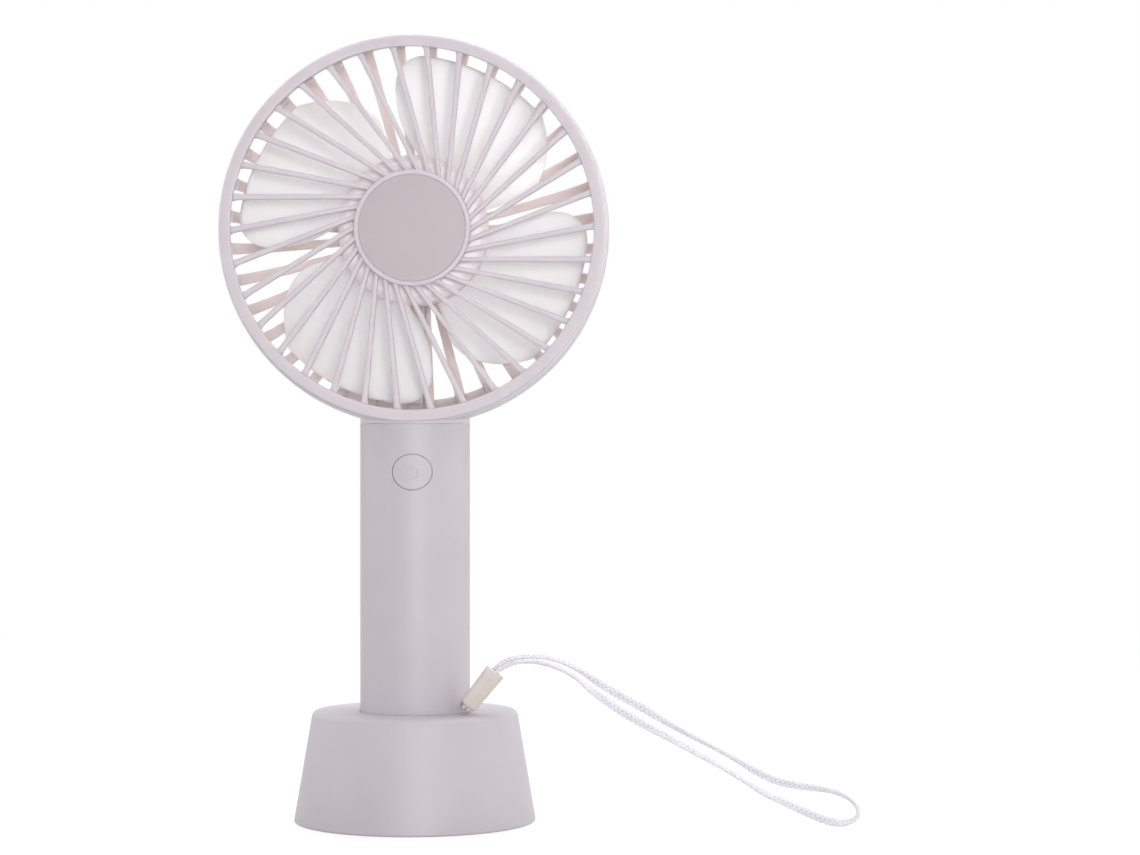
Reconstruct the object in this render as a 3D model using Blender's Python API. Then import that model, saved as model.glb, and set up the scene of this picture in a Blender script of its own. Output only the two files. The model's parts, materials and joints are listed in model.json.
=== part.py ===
import math

import bmesh
import bpy
from mathutils import Matrix, Vector

# Sizes in metres. X runs to the right, -Y to the front, Z up from the table.

# Clearances
GAP = 0.0003
SOCKET_PLAY = 0.0004
RUN_GAP = 0.0004

# Stand
STAND_FOOT_R = 0.0322
STAND_TOP_R = 0.0272
STAND_H = 0.0293
STAND_WALL = 0.0020
STAND_TOP_T = 0.0022
STAND_FILLET = 0.0017
STAND_FOOT_FILLET = 0.0006
SOCKET_DEPTH = 0.0213
SOCKET_WALL = 0.0018
SOCKET_FLOOR_T = 0.0020
SOCKET_LEAD_IN = 0.0006
STAND_WEBS = 6
STAND_WEB_T = 0.0014

# Handle
HANDLE_R = 0.0146
HANDLE_WALL = 0.0016
HANDLE_HEADROOM = 0.0045
HANDLE_EDGE = 0.0004
CAP_T = 0.0016
CAP_PLUG_H = 0.0030
CAP_PLUG_WALL = 0.0014
CAP_POST_W = 0.0024
CAP_POST_X = 0.0045

# Power button and its switch
BUTTON_DROP = 0.0125
BUTTON_W = 0.0104
BUTTON_H = 0.0094
BUTTON_PROUD = 0.00015
BUTTON_EDGE = 0.0004
BUTTON_LIP = 0.0010
BUTTON_LIP_T = 0.0009
BUTTON_PRESS = 0.0005
BUTTON_CROWN = 0.5
SWITCH_W = 0.0060
PLUNGER_R = 0.0017
PLUNGER_LEN = 0.0020

# Cell, boards and the frame that holds them
CELL_R = 0.0091
CELL_LEN = 0.0650
CELL_PLAY = 0.0006
CELL_EDGE = 0.0006
TAB_T = 0.0003
TAB_W = 0.0050
TAB_LEN = 0.0120
BOARD_T = 0.0010
CONTROL_BOARD_W = 0.0160
CONTROL_BOARD_H = 0.0190
CONTROL_BOARD_DROP = 0.0100
CHARGE_BOARD_W = 0.0140
CHARGE_BOARD_LEN = 0.0150
CHARGE_BOARD_RISE = 0.0007
PORT_W = 0.0076
PORT_H = 0.0027
PORT_LEN = 0.0056
PORT_WALL = 0.0004
PORT_SETBACK = 0.0010
PORT_WINDOW = 0.0004
PORT_OVERHANG = 0.0034
PORT_BACK_WALL = 0.0014
PORT_TONGUE_W = 0.0041
PORT_TONGUE_T = 0.0006
PORT_TONGUE_SETBACK = 0.0008
FRAME_PLATE_T = 0.0008
FRAME_SLIT = 0.0090
FRAME_WRAP = math.radians(25)
CHIP_W = 0.0050
CHIP_H = 0.0040
CHIP_DROP = 0.0010
CHIP_T = 0.0016
SCREW_R = 0.0006
SCREW_HEAD_R = 0.0013
SCREW_HEAD_T = 0.0010
BOARD_SCREW_LEN = 0.0030
BOARD_SCREW_X = 0.0068
BOARD_SCREW_INSET = 0.0020

# Head: depths are measured from the handle's axis, front negative
HEAD_R = 0.05175
HEAD_SINK = 0.00045
RIM_FRONT_D = -0.0117
RIM_REAR_D = 0.0040
RIM_WIDEST_D = -0.0030
RIM_BULGE = 0.00075
RIM_WALL = 0.00175
DOME_INSET = 0.00055
DOME_START_D = 0.0010
DOME_H = 0.0160
DOME_SINK = 0.0007
REAR_BARS = 36
REAR_BAR_W_OUT = 0.0031
REAR_BAR_W_IN = 0.0021
REAR_BAR_DEPTH = 0.0024
NECK_WEB_REACH = 0.0052
NECK_WEB_HALF = math.radians(24.5)
NECK_WEB_T = 0.0015
NECK_SINK = 0.0006
COLLAR_REAR_H = 0.0017
COLLAR_SLOPE_Y = 0.0080
COLLAR_SLOPE_RISE = 0.0039
SPIGOT_LEN = 0.0035
SPIGOT_WALL = 0.0018
CHANNEL_W_OUT = 0.0112
CHANNEL_W_IN = 0.0062
CHANNEL_DEPTH = 0.0037
CHANNEL_START = math.radians(1.2)
CHANNEL_SINK = 0.0004
GROOVE_W = 0.0044
GROOVE_FLOOR = 0.0012
GROOVE_FOOT = 0.0038
GROOVE_HEAD = 0.0011
COVER_T = 0.0008
COVER_FOOT = 0.0028
COVER_HEAD = 0.0012
PASSAGE_SETBACK = 0.0012
PASSAGE_LEN = 0.0062
PASSAGE_RISE = 0.0012

# Front grille
RING_INSET = 0.0012
RING_W = 0.00305
RING_FRONT_D = -0.0159
RING_OUTER_FILLET = 0.0009
RING_INNER_FILLET = 0.0004
SKIRT_T = 0.0010
SKIRT_LEN = 0.0030
SKIRT_BEVEL = 0.0005
FRONT_BARS = 34
BAR_OFFSET = 0.0082
BAR_PHASE = math.radians(5.33)
BAR_W = 0.0012
BAR_RING_W = 0.0015
BAR_EDGE = 0.0003
BAR_FRONT_D = -0.0154
BAR_DEPTH = 0.0022
DISC_R = 0.01525
DISC_RIM_W = 0.00125
DISC_EDGE = 0.00075
DISC_FRONT_D = -0.0162
DISC_DEPTH = 0.0032
BADGE_SEAT = 0.0013
BADGE_T = 0.0009
BADGE_EDGE = 0.0002
NOTCH_ANGLE = math.radians(-39)
NOTCH_LEN = 0.0048
NOTCH_DEPTH = 0.0006

# Impeller
HUB_R = 0.0198
HUB_FRONT_R = 0.0180
HUB_FRONT_D = -0.0105
HUB_REAR_D = 0.0020
HUB_WALL = 0.0014
HUB_BOSS_R = 0.0042
HUB_EDGE = 0.0006
BLADES = 4
BLADE_TIP_GAP = 0.0040
BLADE_T = 0.0013
BLADE_ROOT_DEPTH = 0.0088
BLADE_TIP_DEPTH = 0.0096
BLADE_MID_D = -0.0032
BLADE_CAMBER = 0.0012
TRAIL_ANGLE = math.radians(17.6)
TRAIL_SWEEP = math.radians(25.0)
TRAIL_SWEEP_R = 0.0290
TRAIL_POWER = 1.8
LEAD_ANGLE = math.radians(97.5)
LEAD_SWEEP = math.radians(11.5)
LEAD_SWEEP_R = 0.0330
LEAD_POWER = 2.5
BLADE_CORNER_R = 0.0100
BLADE_CORNER_SWEEP = math.radians(11.5)
BLADE_CROWDING = 1.7

# Motor
MOTOR_R = 0.0122
MOTOR_FRONT_D = 0.0026
CAN_LEN = 0.0100
CAN_WALL = 0.0008
BELL_LEN = 0.0025
BELL_R = 0.0119
BELL_EDGE = 0.0005
BELL_PLUG_LEN = 0.0012
BOSS_R = 0.0030
BOSS_LEN = 0.0017
SHAFT_R = 0.0010
BUSH_R = 0.0023
BUSH_LEN = 0.0026
REAR_BUSH_LEN = 0.0014
MAGNET_T = 0.0021
MAGNET_LEN = 0.0070
MAGNET_HALF = math.radians(65)
AIR_GAP = 0.0005
ARMATURE_LEN = 0.0060
ARMATURE_NECK_R = 0.0038
SHOE_T = 0.0017
SHOE_HALF = math.radians(51.5)
SHOE_ROOT_HALF = math.radians(48.7)
COMMUTATOR_R = 0.0030
COMMUTATOR_LEN = 0.0020
POD_R = 0.0152
POD_FLANGE_R = 0.0175
POD_REAR_R = 0.0140
POD_REAR_D = 0.0181
POD_REAR_EDGE = 0.0010
POD_FLANGE_EDGE = 0.0008
POD_SLOT_H = 0.0022
RETAINER_T = 0.0013
RETAINER_SCREW_R = 0.01385
RETAINER_SCREW_LEN = 0.0075

# Wires and strap
LEAD_R = 0.00045
LEAD_X = 0.0007
LEAD_INSET = 0.0005
LOWER_LEAD_X = 0.0027
UPPER_LEAD_X = 0.0036
TAB_LEAD_X = 0.0015
LEAD_BEND = 0.0036
TETHER_R = 0.00045
TETHER_SPREAD = 0.0014
TETHER_HOLE_R = 0.0011
TETHER_HOLE_RISE = 0.0026
TETHER_HOLE_ANGLES = (math.radians(-27), math.radians(-11))
SLEEVE_FOOT = Vector((0.0144, -0.0109, 0.0313))
SLEEVE_TIP = Vector((0.0217, -0.0109, 0.0405))
SLEEVE_FOOT_W = 0.0044
SLEEVE_TIP_W = 0.0054
SLEEVE_T = 0.0044
SLEEVE_EDGE = 0.0008
STRAP_R = 0.0012
STRAP_POINTS = 56

# The strap's route, chosen by eye: out of the sleeve, down to the table, round and back
STRAP_ROUTE = [
    (0.0218, -0.0094, 0.0413), (0.0242, -0.0095, 0.0431), (0.0282, -0.0097, 0.0442),
    (0.0330, -0.0099, 0.0443), (0.0380, -0.0101, 0.0434), (0.0434, -0.0103, 0.0410),
    (0.0489, -0.0105, 0.0375), (0.0544, -0.0107, 0.0342), (0.0606, -0.0108, 0.0308),
    (0.0665, -0.0110, 0.0273), (0.0727, -0.0112, 0.0239), (0.0790, -0.0114, 0.0207),
    (0.0850, -0.0116, 0.0174), (0.0907, -0.0118, 0.0141), (0.0956, -0.0120, 0.0119),
    (0.1010, -0.0122, 0.0107), (0.1065, -0.0125, 0.0100), (0.1110, -0.0128, 0.0091),
    (0.1146, -0.0132, 0.0074), (0.1166, -0.0137, 0.0050), (0.1164, -0.0144, 0.0029),
    (0.1145, -0.0151, 0.0017), (0.1118, -0.0158, 0.0014), (0.1080, -0.0163, 0.0022),
    (0.1035, -0.0162, 0.0040), (0.0980, -0.0160, 0.0065), (0.0919, -0.0156, 0.0093),
    (0.0860, -0.0153, 0.0130), (0.0795, -0.0150, 0.0168), (0.0729, -0.0147, 0.0204),
    (0.0664, -0.0144, 0.0239), (0.0600, -0.0142, 0.0273), (0.0536, -0.0139, 0.0311),
    (0.0474, -0.0136, 0.0355), (0.0419, -0.0133, 0.0398), (0.0365, -0.0131, 0.0423),
    (0.0310, -0.0129, 0.0431), (0.0266, -0.0127, 0.0426), (0.0227, -0.0125, 0.0407),
]

# Facets round the turned pieces
RIM_STEPS = 48
RING_STEPS = 3 * FRONT_BARS // 2
ROUND_STEPS = 32
CAP_STEPS = 24
SMALL_STEPS = 16
PIN_STEPS = 8
BUSH_STEPS = 10
BUTTON_STEPS = 24
ROUTE_STEPS = 12

# Levels and places that follow from the sizes
TUBE_IN = HANDLE_R - HANDLE_WALL
SOCKET_FLOOR_Z = STAND_H - SOCKET_DEPTH
CAP_Z = SOCKET_FLOOR_Z + GAP
TUBE_Z = CAP_Z + CAP_T + GAP
CHARGE_BOARD_Z = STAND_H + CHARGE_BOARD_RISE
PORT_Z = CHARGE_BOARD_Z + BOARD_T + GAP
PORT_MOUTH_Y = HANDLE_R - PORT_SETBACK
FRAME_Z = PORT_Z + PORT_H + GAP
FRAME_R = TUBE_IN - GAP
LOWER_TAB_Z = FRAME_Z + FRAME_PLATE_T + GAP
CELL_Z = LOWER_TAB_Z + TAB_T + GAP
CELL_TOP_Z = CELL_Z + CELL_LEN
TUBE_TOP_Z = CELL_TOP_Z + HANDLE_HEADROOM
BUTTON_Z = TUBE_TOP_Z - BUTTON_DROP
COLLAR_Z = TUBE_TOP_Z + GAP
HEAD_Z = TUBE_TOP_Z + HEAD_R - HEAD_SINK
RIM_INNER_R = HEAD_R - RIM_WALL
DOME_R = HEAD_R - DOME_INSET
NECK_WEB_INNER_R = DOME_R - NECK_WEB_REACH
RING_R = HEAD_R - RING_INSET
RING_INNER_R = RING_R - RING_W
BLADE_TIP_R = RIM_INNER_R - BLADE_TIP_GAP
UPPER_TAB_Z = CELL_TOP_Z + GAP
CELL_Y = TUBE_IN - CELL_PLAY - CELL_R
BOARD_BACK_Y = CELL_Y - CELL_R - CELL_PLAY
BOARD_FRONT_Y = BOARD_BACK_Y - BOARD_T
BOARD_Z = BUTTON_Z - CONTROL_BOARD_DROP
FRAME_FRONT_Y = BOARD_BACK_Y + GAP
LIP_R = TUBE_IN - GAP
LIP_INNER_R = LIP_R - BUTTON_LIP_T
PLUNGER_TIP_Y = -LIP_INNER_R + GAP
SWITCH_FRONT_Y = PLUNGER_TIP_Y + BUTTON_PRESS + GAP
SCREW_HOLE_R = SCREW_R + GAP
POD_IN_R = MOTOR_R + GAP
CAN_REAR_D = MOTOR_FRONT_D + CAN_LEN
BELL_D = CAN_REAR_D + GAP
BELL_REAR_D = BELL_D + BELL_LEN
POD_FLOOR_D = BELL_REAR_D + GAP
BOSS_FRONT_D = MOTOR_FRONT_D - BOSS_LEN
RETAINER_D = MOTOR_FRONT_D - GAP - RETAINER_T
BORE_R = SHAFT_R + GAP
DOME_CENTRE_R = POD_R - DOME_SINK
SKIRT_R = RIM_INNER_R - GAP
RING_BACK_D = RIM_FRONT_D - GAP
STRAP_HOLE_Z = STAND_H + TETHER_HOLE_RISE


# Shape helpers


def rounded(corners, steps=3):
    points = []
    count = len(corners)
    for i, (x, y, radius) in enumerate(corners):
        here = Vector((x, y))
        if not radius:
            points.append((x, y))
            continue
        back = (Vector(corners[i - 1][:2]) - here).normalized()
        ahead = (Vector(corners[(i + 1) % count][:2]) - here).normalized()
        half = back.angle(ahead) / 2
        reach = radius / math.tan(half)
        centre = here + (back + ahead).normalized() * radius / math.sin(half)
        start = here + back * reach - centre
        end = here + ahead * reach - centre
        sweep = start.angle_signed(end)
        for k in range(steps + 1):
            turn = Matrix.Rotation(-sweep * k / steps, 2)
            points.append(tuple(centre + turn @ start))
    return points


def circle(radius, steps, centre=(0, 0), start=0.0):
    angles = [start + math.tau * k / steps for k in range(steps)]
    return [(centre[0] + radius * math.cos(a), centre[1] + radius * math.sin(a)) for a in angles]


def polar(radius, angle):
    return (radius * math.cos(angle), radius * math.sin(angle))


def arc(radius, first, last, steps, centre=(0, 0)):
    angles = [first + (last - first) * k / steps for k in range(steps + 1)]
    return [(centre[0] + radius * math.cos(a), centre[1] + radius * math.sin(a)) for a in angles]


def ellipse(half_w, half_h, steps):
    angles = [math.tau * k / steps for k in range(steps)]
    return [(half_w * math.cos(a), half_h * math.sin(a)) for a in angles]


def finish_mesh(name, bm):
    bmesh.ops.remove_doubles(bm, verts=bm.verts, dist=1e-7)
    bmesh.ops.recalc_face_normals(bm, faces=bm.faces)
    mesh = bpy.data.meshes.new(name)
    bm.to_mesh(mesh)
    bm.free()
    obj = bpy.data.objects.new(name, mesh)
    bpy.context.scene.collection.objects.link(obj)
    return obj


def turned(name, profile, steps):
    bm = bmesh.new()
    verts = [bm.verts.new((r, 0, h)) for r, h in profile]
    edges = [bm.edges.new(pair) for pair in zip(verts, verts[1:])]
    if profile[0][0] > 0:
        edges.append(bm.edges.new((verts[-1], verts[0])))
    bmesh.ops.spin(
        bm,
        geom=verts + edges,
        axis=(0, 0, 1),
        cent=(0, 0, 0),
        steps=steps,
        angle=math.tau,
        use_merge=True,
    )
    return finish_mesh(name, bm)


def prism(name, outline, low, high):
    bm = bmesh.new()
    face = bm.faces.new([bm.verts.new((x, y, low)) for x, y in outline])
    grown = bmesh.ops.extrude_face_region(bm, geom=[face])
    raised = [v for v in grown["geom"] if isinstance(v, bmesh.types.BMVert)]
    bmesh.ops.translate(bm, verts=raised, vec=(0, 0, high - low))
    return finish_mesh(name, bm)


def block(name, low, high):
    bm = bmesh.new()
    bmesh.ops.create_cube(bm, size=1)
    low, high = Vector(low), Vector(high)
    for vert in bm.verts:
        vert.co = Vector(((low[i] + high[i]) / 2 + vert.co[i] * (high[i] - low[i]) for i in range(3)))
    return finish_mesh(name, bm)


def loft(name, sections):
    bm = bmesh.new()
    rings = [[bm.verts.new(p) for p in section] for section in sections]
    for near, far in zip(rings, rings[1:]):
        for k in range(len(near)):
            bm.faces.new((near[k - 1], near[k], far[k], far[k - 1]))
    bm.faces.new(rings[0])
    bm.faces.new(rings[-1])
    return finish_mesh(name, bm)


def moved(obj, matrix):
    obj.data.transform(matrix)
    return obj


def joined(name, pieces):
    bm = bmesh.new()
    for piece in pieces:
        bm.from_mesh(piece.data)
        bpy.data.objects.remove(piece)
    return finish_mesh(name, bm)


def combine(target, other, operation):
    modifier = target.modifiers.new("combine", "BOOLEAN")
    modifier.operation = operation
    modifier.solver = "EXACT"
    modifier.object = other
    bpy.context.view_layer.update()
    graph = bpy.context.evaluated_depsgraph_get()
    result = bpy.data.meshes.new_from_object(target.evaluated_get(graph))
    target.modifiers.clear()
    target.data = result
    bpy.data.objects.remove(other)
    return target


def union(target, other):
    return combine(target, other, "UNION")


def cut(target, other):
    return combine(target, other, "DIFFERENCE")


def smooth_route(points, count):
    stops = [Vector(p) for p in points]
    ends = [2 * stops[0] - stops[1]] + stops + [2 * stops[-1] - stops[-2]]
    fine = []
    for a, b, c, d in zip(ends, ends[1:], ends[2:], ends[3:]):
        for k in range(ROUTE_STEPS):
            t = k / ROUTE_STEPS
            bend = (2 * a - 5 * b + 4 * c - d) * t**2
            twist = (3 * b - a - 3 * c + d) * t**3
            fine.append((2 * b + (c - a) * t + bend + twist) / 2)
    fine.append(stops[-1])
    lengths = [0.0]
    for a, b in zip(fine, fine[1:]):
        lengths.append(lengths[-1] + (b - a).length)
    route = []
    i = 0
    for k in range(count):
        target = lengths[-1] * k / (count - 1)
        while i < len(fine) - 2 and lengths[i + 1] < target:
            i += 1
        share = (target - lengths[i]) / max(lengths[i + 1] - lengths[i], 1e-9)
        route.append(fine[i].lerp(fine[i + 1], min(share, 1)))
    return route


def tube(name, route, radius, resolution=2):
    curve = bpy.data.curves.new(name, "CURVE")
    curve.dimensions = "3D"
    curve.bevel_depth = radius
    curve.bevel_resolution = resolution
    curve.use_fill_caps = True
    spline = curve.splines.new("POLY")
    spline.points.add(len(route) - 1)
    for point, place in zip(spline.points, route):
        point.co = (*place, 1)
    obj = bpy.data.objects.new(name, curve)
    bpy.context.scene.collection.objects.link(obj)
    return obj


def screw(name, length):
    crown = SCREW_HEAD_T / 2
    profile = [(0, -SCREW_HEAD_T), (SCREW_HEAD_R - crown, -SCREW_HEAD_T), (SCREW_HEAD_R, -crown)]
    profile += [(SCREW_HEAD_R, 0), (SCREW_R, 0), (SCREW_R, length - SCREW_R), (0, length)]
    return turned(name, profile, PIN_STEPS)


# Head frame: local z runs from front to back, angles turn anticlockwise seen from the front


def head_point(radius, angle, depth):
    return Vector((radius * math.cos(angle), -radius * math.sin(angle), depth))


def to_head():
    return Matrix.Rotation(math.pi / 2, 4, "X") @ Matrix.Translation((0, 0, -HEAD_Z))


def dome_point(t, inward):
    span = DOME_R - DOME_CENTRE_R
    normal = Vector((math.cos(t) / span, math.sin(t) / DOME_H)).normalized()
    radius = DOME_CENTRE_R + span * math.cos(t) - normal.x * inward
    depth = DOME_START_D + DOME_H * math.sin(t) - normal.y * inward
    return radius, depth


def dome_turn(radius):
    return math.acos((radius - DOME_CENTRE_R) / (DOME_R - DOME_CENTRE_R))


def dome_bar(name, angle, first, last, steps, widths, outer, inner):
    side = head_point(1, angle + math.pi / 2, 0)
    sections = []
    for k in range(steps + 1):
        share = k / steps
        t = first + (last - first) * share
        half = (widths[0] + (widths[1] - widths[0]) * share) / 2
        top = head_point(dome_point(t, outer)[0], angle, dome_point(t, outer)[1])
        low = head_point(dome_point(t, inner)[0], angle, dome_point(t, inner)[1])
        sections.append([top - side * half, top + side * half, low + side * half, low - side * half])
    return loft(name, sections)


DOWN = -math.pi / 2


# Stand


def stand_wall_r(height):
    return STAND_FOOT_R + (STAND_TOP_R - STAND_FOOT_R) * height / STAND_H


def stand_web(index):
    low = SOCKET_FLOOR_Z - SOCKET_FLOOR_T / 2
    high = STAND_H - STAND_TOP_T / 2
    inner = HANDLE_R + SOCKET_PLAY + SOCKET_WALL / 2
    sink = STAND_WALL / 2
    outline = [
        (inner, low),
        (stand_wall_r(low) - sink, low),
        (stand_wall_r(high) - sink, high),
        (inner, high),
    ]
    web = prism("stand_web", outline, -STAND_WEB_T / 2, STAND_WEB_T / 2)
    upright = Matrix.Rotation(math.pi / 2, 4, "X")
    return moved(web, Matrix.Rotation(math.tau * (index + 0.5) / STAND_WEBS, 4, "Z") @ upright)


def make_stand_shell():
    bore = HANDLE_R + SOCKET_PLAY
    post = bore + SOCKET_WALL
    under = STAND_H - STAND_TOP_T
    corners = [
        (0, SOCKET_FLOOR_Z - SOCKET_FLOOR_T, 0),
        (post, SOCKET_FLOOR_Z - SOCKET_FLOOR_T, 0),
        (post, under, 0),
        (stand_wall_r(under) - STAND_WALL, under, 0),
        (STAND_FOOT_R - STAND_WALL, 0, 0),
        (STAND_FOOT_R, 0, STAND_FOOT_FILLET),
        (STAND_TOP_R, STAND_H, STAND_FILLET),
        (bore + SOCKET_LEAD_IN, STAND_H, 0),
        (bore, STAND_H - SOCKET_LEAD_IN, 0),
        (bore, SOCKET_FLOOR_Z, 0),
        (0, SOCKET_FLOOR_Z, 0),
    ]
    shell = turned("stand_shell", rounded(corners, 2), ROUND_STEPS)
    webs = joined("stand_webs", [stand_web(k) for k in range(STAND_WEBS)])
    return union(shell, webs)


# Handle


def button_outline(margin):
    return ellipse(BUTTON_W / 2 + margin, BUTTON_H / 2 + margin, BUTTON_STEPS)


def front_prism(name, outline, near, far):
    shape = prism(name, outline, -far, -near)
    return moved(shape, Matrix.Translation((0, 0, BUTTON_Z)) @ Matrix.Rotation(math.pi / 2, 4, "X"))


def strap_hole(angle):
    outline = circle(TETHER_HOLE_R, PIN_STEPS)
    hole = prism("strap_hole", outline, TUBE_IN - HANDLE_WALL, HANDLE_R + HANDLE_WALL)
    along = Matrix.Rotation(angle, 4, "Z") @ Matrix.Rotation(math.pi / 2, 4, "Y")
    return moved(hole, Matrix.Translation((0, 0, STRAP_HOLE_Z)) @ along)


def make_handle_tube():
    corners = [
        (TUBE_IN, TUBE_Z, 0),
        (HANDLE_R, TUBE_Z, 0),
        (HANDLE_R, TUBE_TOP_Z, HANDLE_EDGE),
        (TUBE_IN, TUBE_TOP_Z, 0),
    ]
    body = turned("handle_tube", rounded(corners, 2), ROUND_STEPS)
    near, far = -HANDLE_R - HANDLE_WALL, BUTTON_W / 2 - TUBE_IN
    cut(body, front_prism("button_hole", button_outline(GAP), near, far))
    half = PORT_W / 2 + PORT_WINDOW
    low = (-half, TUBE_IN - half, PORT_Z - PORT_WINDOW)
    high = (half, HANDLE_R + HANDLE_WALL, PORT_Z + PORT_H + PORT_WINDOW)
    cut(body, block("port_window", low, high))
    for angle in TETHER_HOLE_ANGLES:
        cut(body, strap_hole(angle))
    return body


def make_end_cap():
    plug = TUBE_IN - GAP
    top = CAP_Z + CAP_T
    corners = [
        (0, CAP_Z, 0),
        (HANDLE_R, CAP_Z, CAP_T / 3),
        (HANDLE_R, top, 0),
        (plug, top, 0),
        (plug, top + CAP_PLUG_H, 0),
        (plug - CAP_PLUG_WALL, top + CAP_PLUG_H, 0),
        (plug - CAP_PLUG_WALL, top, 0),
        (0, top, 0),
    ]
    cap = turned("handle_end_cap", rounded(corners, 1), CAP_STEPS)
    posts = []
    for side in (-1, 1):
        centre = side * CAP_POST_X
        low = (centre - CAP_POST_W / 2, -CAP_POST_W / 2, CAP_Z + CAP_T / 2)
        high = (centre + CAP_POST_W / 2, CAP_POST_W / 2, CHARGE_BOARD_Z - GAP)
        posts.append(block("cap_post", low, high))
    return union(cap, joined("cap_posts", posts))


# Power button and switch


def wrapped(outline, radius):
    return [Vector((x, -math.sqrt(radius**2 - x**2), BUTTON_Z + z)) for x, z in outline]


def make_power_button():
    face_r = HANDLE_R + BUTTON_PROUD
    sections = [
        wrapped([(x * BUTTON_CROWN, z * BUTTON_CROWN) for x, z in button_outline(BUTTON_LIP)], LIP_INNER_R),
        wrapped(button_outline(BUTTON_LIP), LIP_INNER_R),
        wrapped(button_outline(BUTTON_LIP), LIP_R),
        wrapped(button_outline(0), LIP_R),
        wrapped(button_outline(0), face_r - BUTTON_EDGE),
        wrapped(button_outline(-BUTTON_EDGE), face_r),
        wrapped([(x * BUTTON_CROWN, z * BUTTON_CROWN) for x, z in button_outline(0)], face_r),
    ]
    return loft("power_button", sections)


def make_switch_plunger():
    outline = circle(PLUNGER_R, PIN_STEPS)
    return front_prism("switch_plunger", outline, PLUNGER_TIP_Y, PLUNGER_TIP_Y + PLUNGER_LEN)


def make_switch_body():
    half = SWITCH_W / 2
    low = (-half, SWITCH_FRONT_Y, BUTTON_Z - half)
    high = (half, BOARD_FRONT_Y - GAP, BUTTON_Z + half)
    body = block("switch_body", low, high)
    floor = PLUNGER_TIP_Y + PLUNGER_LEN + BUTTON_PRESS + GAP
    well = front_prism("switch_well", circle(PLUNGER_R + GAP, PIN_STEPS), SWITCH_FRONT_Y - GAP, floor)
    return cut(body, well)


# Cell, boards and frame


def board_screw_places():
    low = BOARD_Z + BOARD_SCREW_INSET
    high = BOARD_Z + CONTROL_BOARD_H - BOARD_SCREW_INSET
    return {"board_screw_lower": (-BOARD_SCREW_X, low), "board_screw_upper": (BOARD_SCREW_X, high)}


def board_screw_hole(place):
    hole = prism("board_screw_hole", circle(SCREW_HOLE_R, PIN_STEPS), -BOARD_SCREW_LEN - GAP, BOARD_T)
    turn = Matrix.Rotation(math.pi / 2, 4, "X")
    return moved(hole, Matrix.Translation((place[0], BOARD_FRONT_Y, place[1])) @ turn)


def make_board_screw(name, place):
    turn = Matrix.Rotation(-math.pi / 2, 4, "X")
    return moved(
        screw(name, BOARD_SCREW_LEN), Matrix.Translation((place[0], BOARD_FRONT_Y - GAP, place[1])) @ turn
    )


def make_control_board():
    half = CONTROL_BOARD_W / 2
    low = (-half, BOARD_FRONT_Y, BOARD_Z)
    high = (half, BOARD_BACK_Y, BOARD_Z + CONTROL_BOARD_H)
    board = block("control_board", low, high)
    for place in board_screw_places().values():
        cut(board, board_screw_hole(place))
    return board


def make_drive_chip():
    top = BUTTON_Z - SWITCH_W / 2 - CHIP_DROP
    low = (-CHIP_W / 2, BOARD_FRONT_Y - GAP - CHIP_T, top - CHIP_H)
    high = (CHIP_W / 2, BOARD_FRONT_Y - GAP, top)
    return block("drive_chip", low, high)


def make_charge_board():
    rear = PORT_MOUTH_Y - PORT_OVERHANG
    low = (-CHARGE_BOARD_W / 2, rear - CHARGE_BOARD_LEN, CHARGE_BOARD_Z)
    high = (CHARGE_BOARD_W / 2, rear, CHARGE_BOARD_Z + BOARD_T)
    return block("charge_board", low, high)


def make_charge_socket():
    half = PORT_W / 2
    rear = PORT_MOUTH_Y - PORT_LEN
    body = block("charge_socket", (-half, rear, PORT_Z), (half, PORT_MOUTH_Y, PORT_Z + PORT_H))
    inner = half - PORT_WALL
    low = (-inner, rear + PORT_BACK_WALL, PORT_Z + PORT_WALL)
    high = (inner, PORT_MOUTH_Y + PORT_WALL, PORT_Z + PORT_H - PORT_WALL)
    cut(body, block("port_mouth", low, high))
    middle = PORT_Z + PORT_H / 2
    half = PORT_TONGUE_W / 2
    low = (-half, rear + PORT_BACK_WALL / 2, middle - PORT_TONGUE_T / 2)
    high = (half, PORT_MOUTH_Y - PORT_TONGUE_SETBACK, middle + PORT_TONGUE_T / 2)
    return union(body, block("port_tongue", low, high))


def cheek_outline():
    low_angle = math.asin(FRAME_FRONT_Y / FRAME_R)
    seat = CELL_R + GAP
    near = -math.acos(FRAME_SLIT / 2 / seat)
    far = math.asin((FRAME_R * math.sin(FRAME_WRAP) - CELL_Y) / seat)
    outline = arc(FRAME_R, low_angle, FRAME_WRAP, 6)
    outline += arc(seat, far, near, 6, (0, CELL_Y))
    outline.append((FRAME_SLIT / 2, FRAME_FRONT_Y))
    return outline


def make_inner_frame():
    right = cheek_outline()
    left = [(-x, y) for x, y in reversed(right)]
    low = FRAME_Z + FRAME_PLATE_T / 2
    cheeks = [prism("cheek", side, low, CELL_TOP_Z) for side in (right, left)]
    frame = prism("inner_frame", circle(FRAME_R, ROUND_STEPS), FRAME_Z, FRAME_Z + FRAME_PLATE_T)
    union(frame, joined("cheeks", cheeks))
    half = FRAME_SLIT / 2
    low = (-half, -HANDLE_R, FRAME_Z - GAP)
    high = (half, BOARD_BACK_Y, FRAME_Z + FRAME_PLATE_T + GAP)
    cut(frame, block("wire_slit", low, high))
    for place in board_screw_places().values():
        cut(frame, board_screw_hole(place))
    return frame


def make_battery_cell():
    corners = [
        (0, CELL_Z, 0),
        (CELL_R, CELL_Z, CELL_EDGE),
        (CELL_R, CELL_TOP_Z, CELL_EDGE),
        (0, CELL_TOP_Z, 0),
    ]
    cell = turned("battery_cell", rounded(corners, 1), SMALL_STEPS)
    return moved(cell, Matrix.Translation((0, CELL_Y, 0)))


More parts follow.
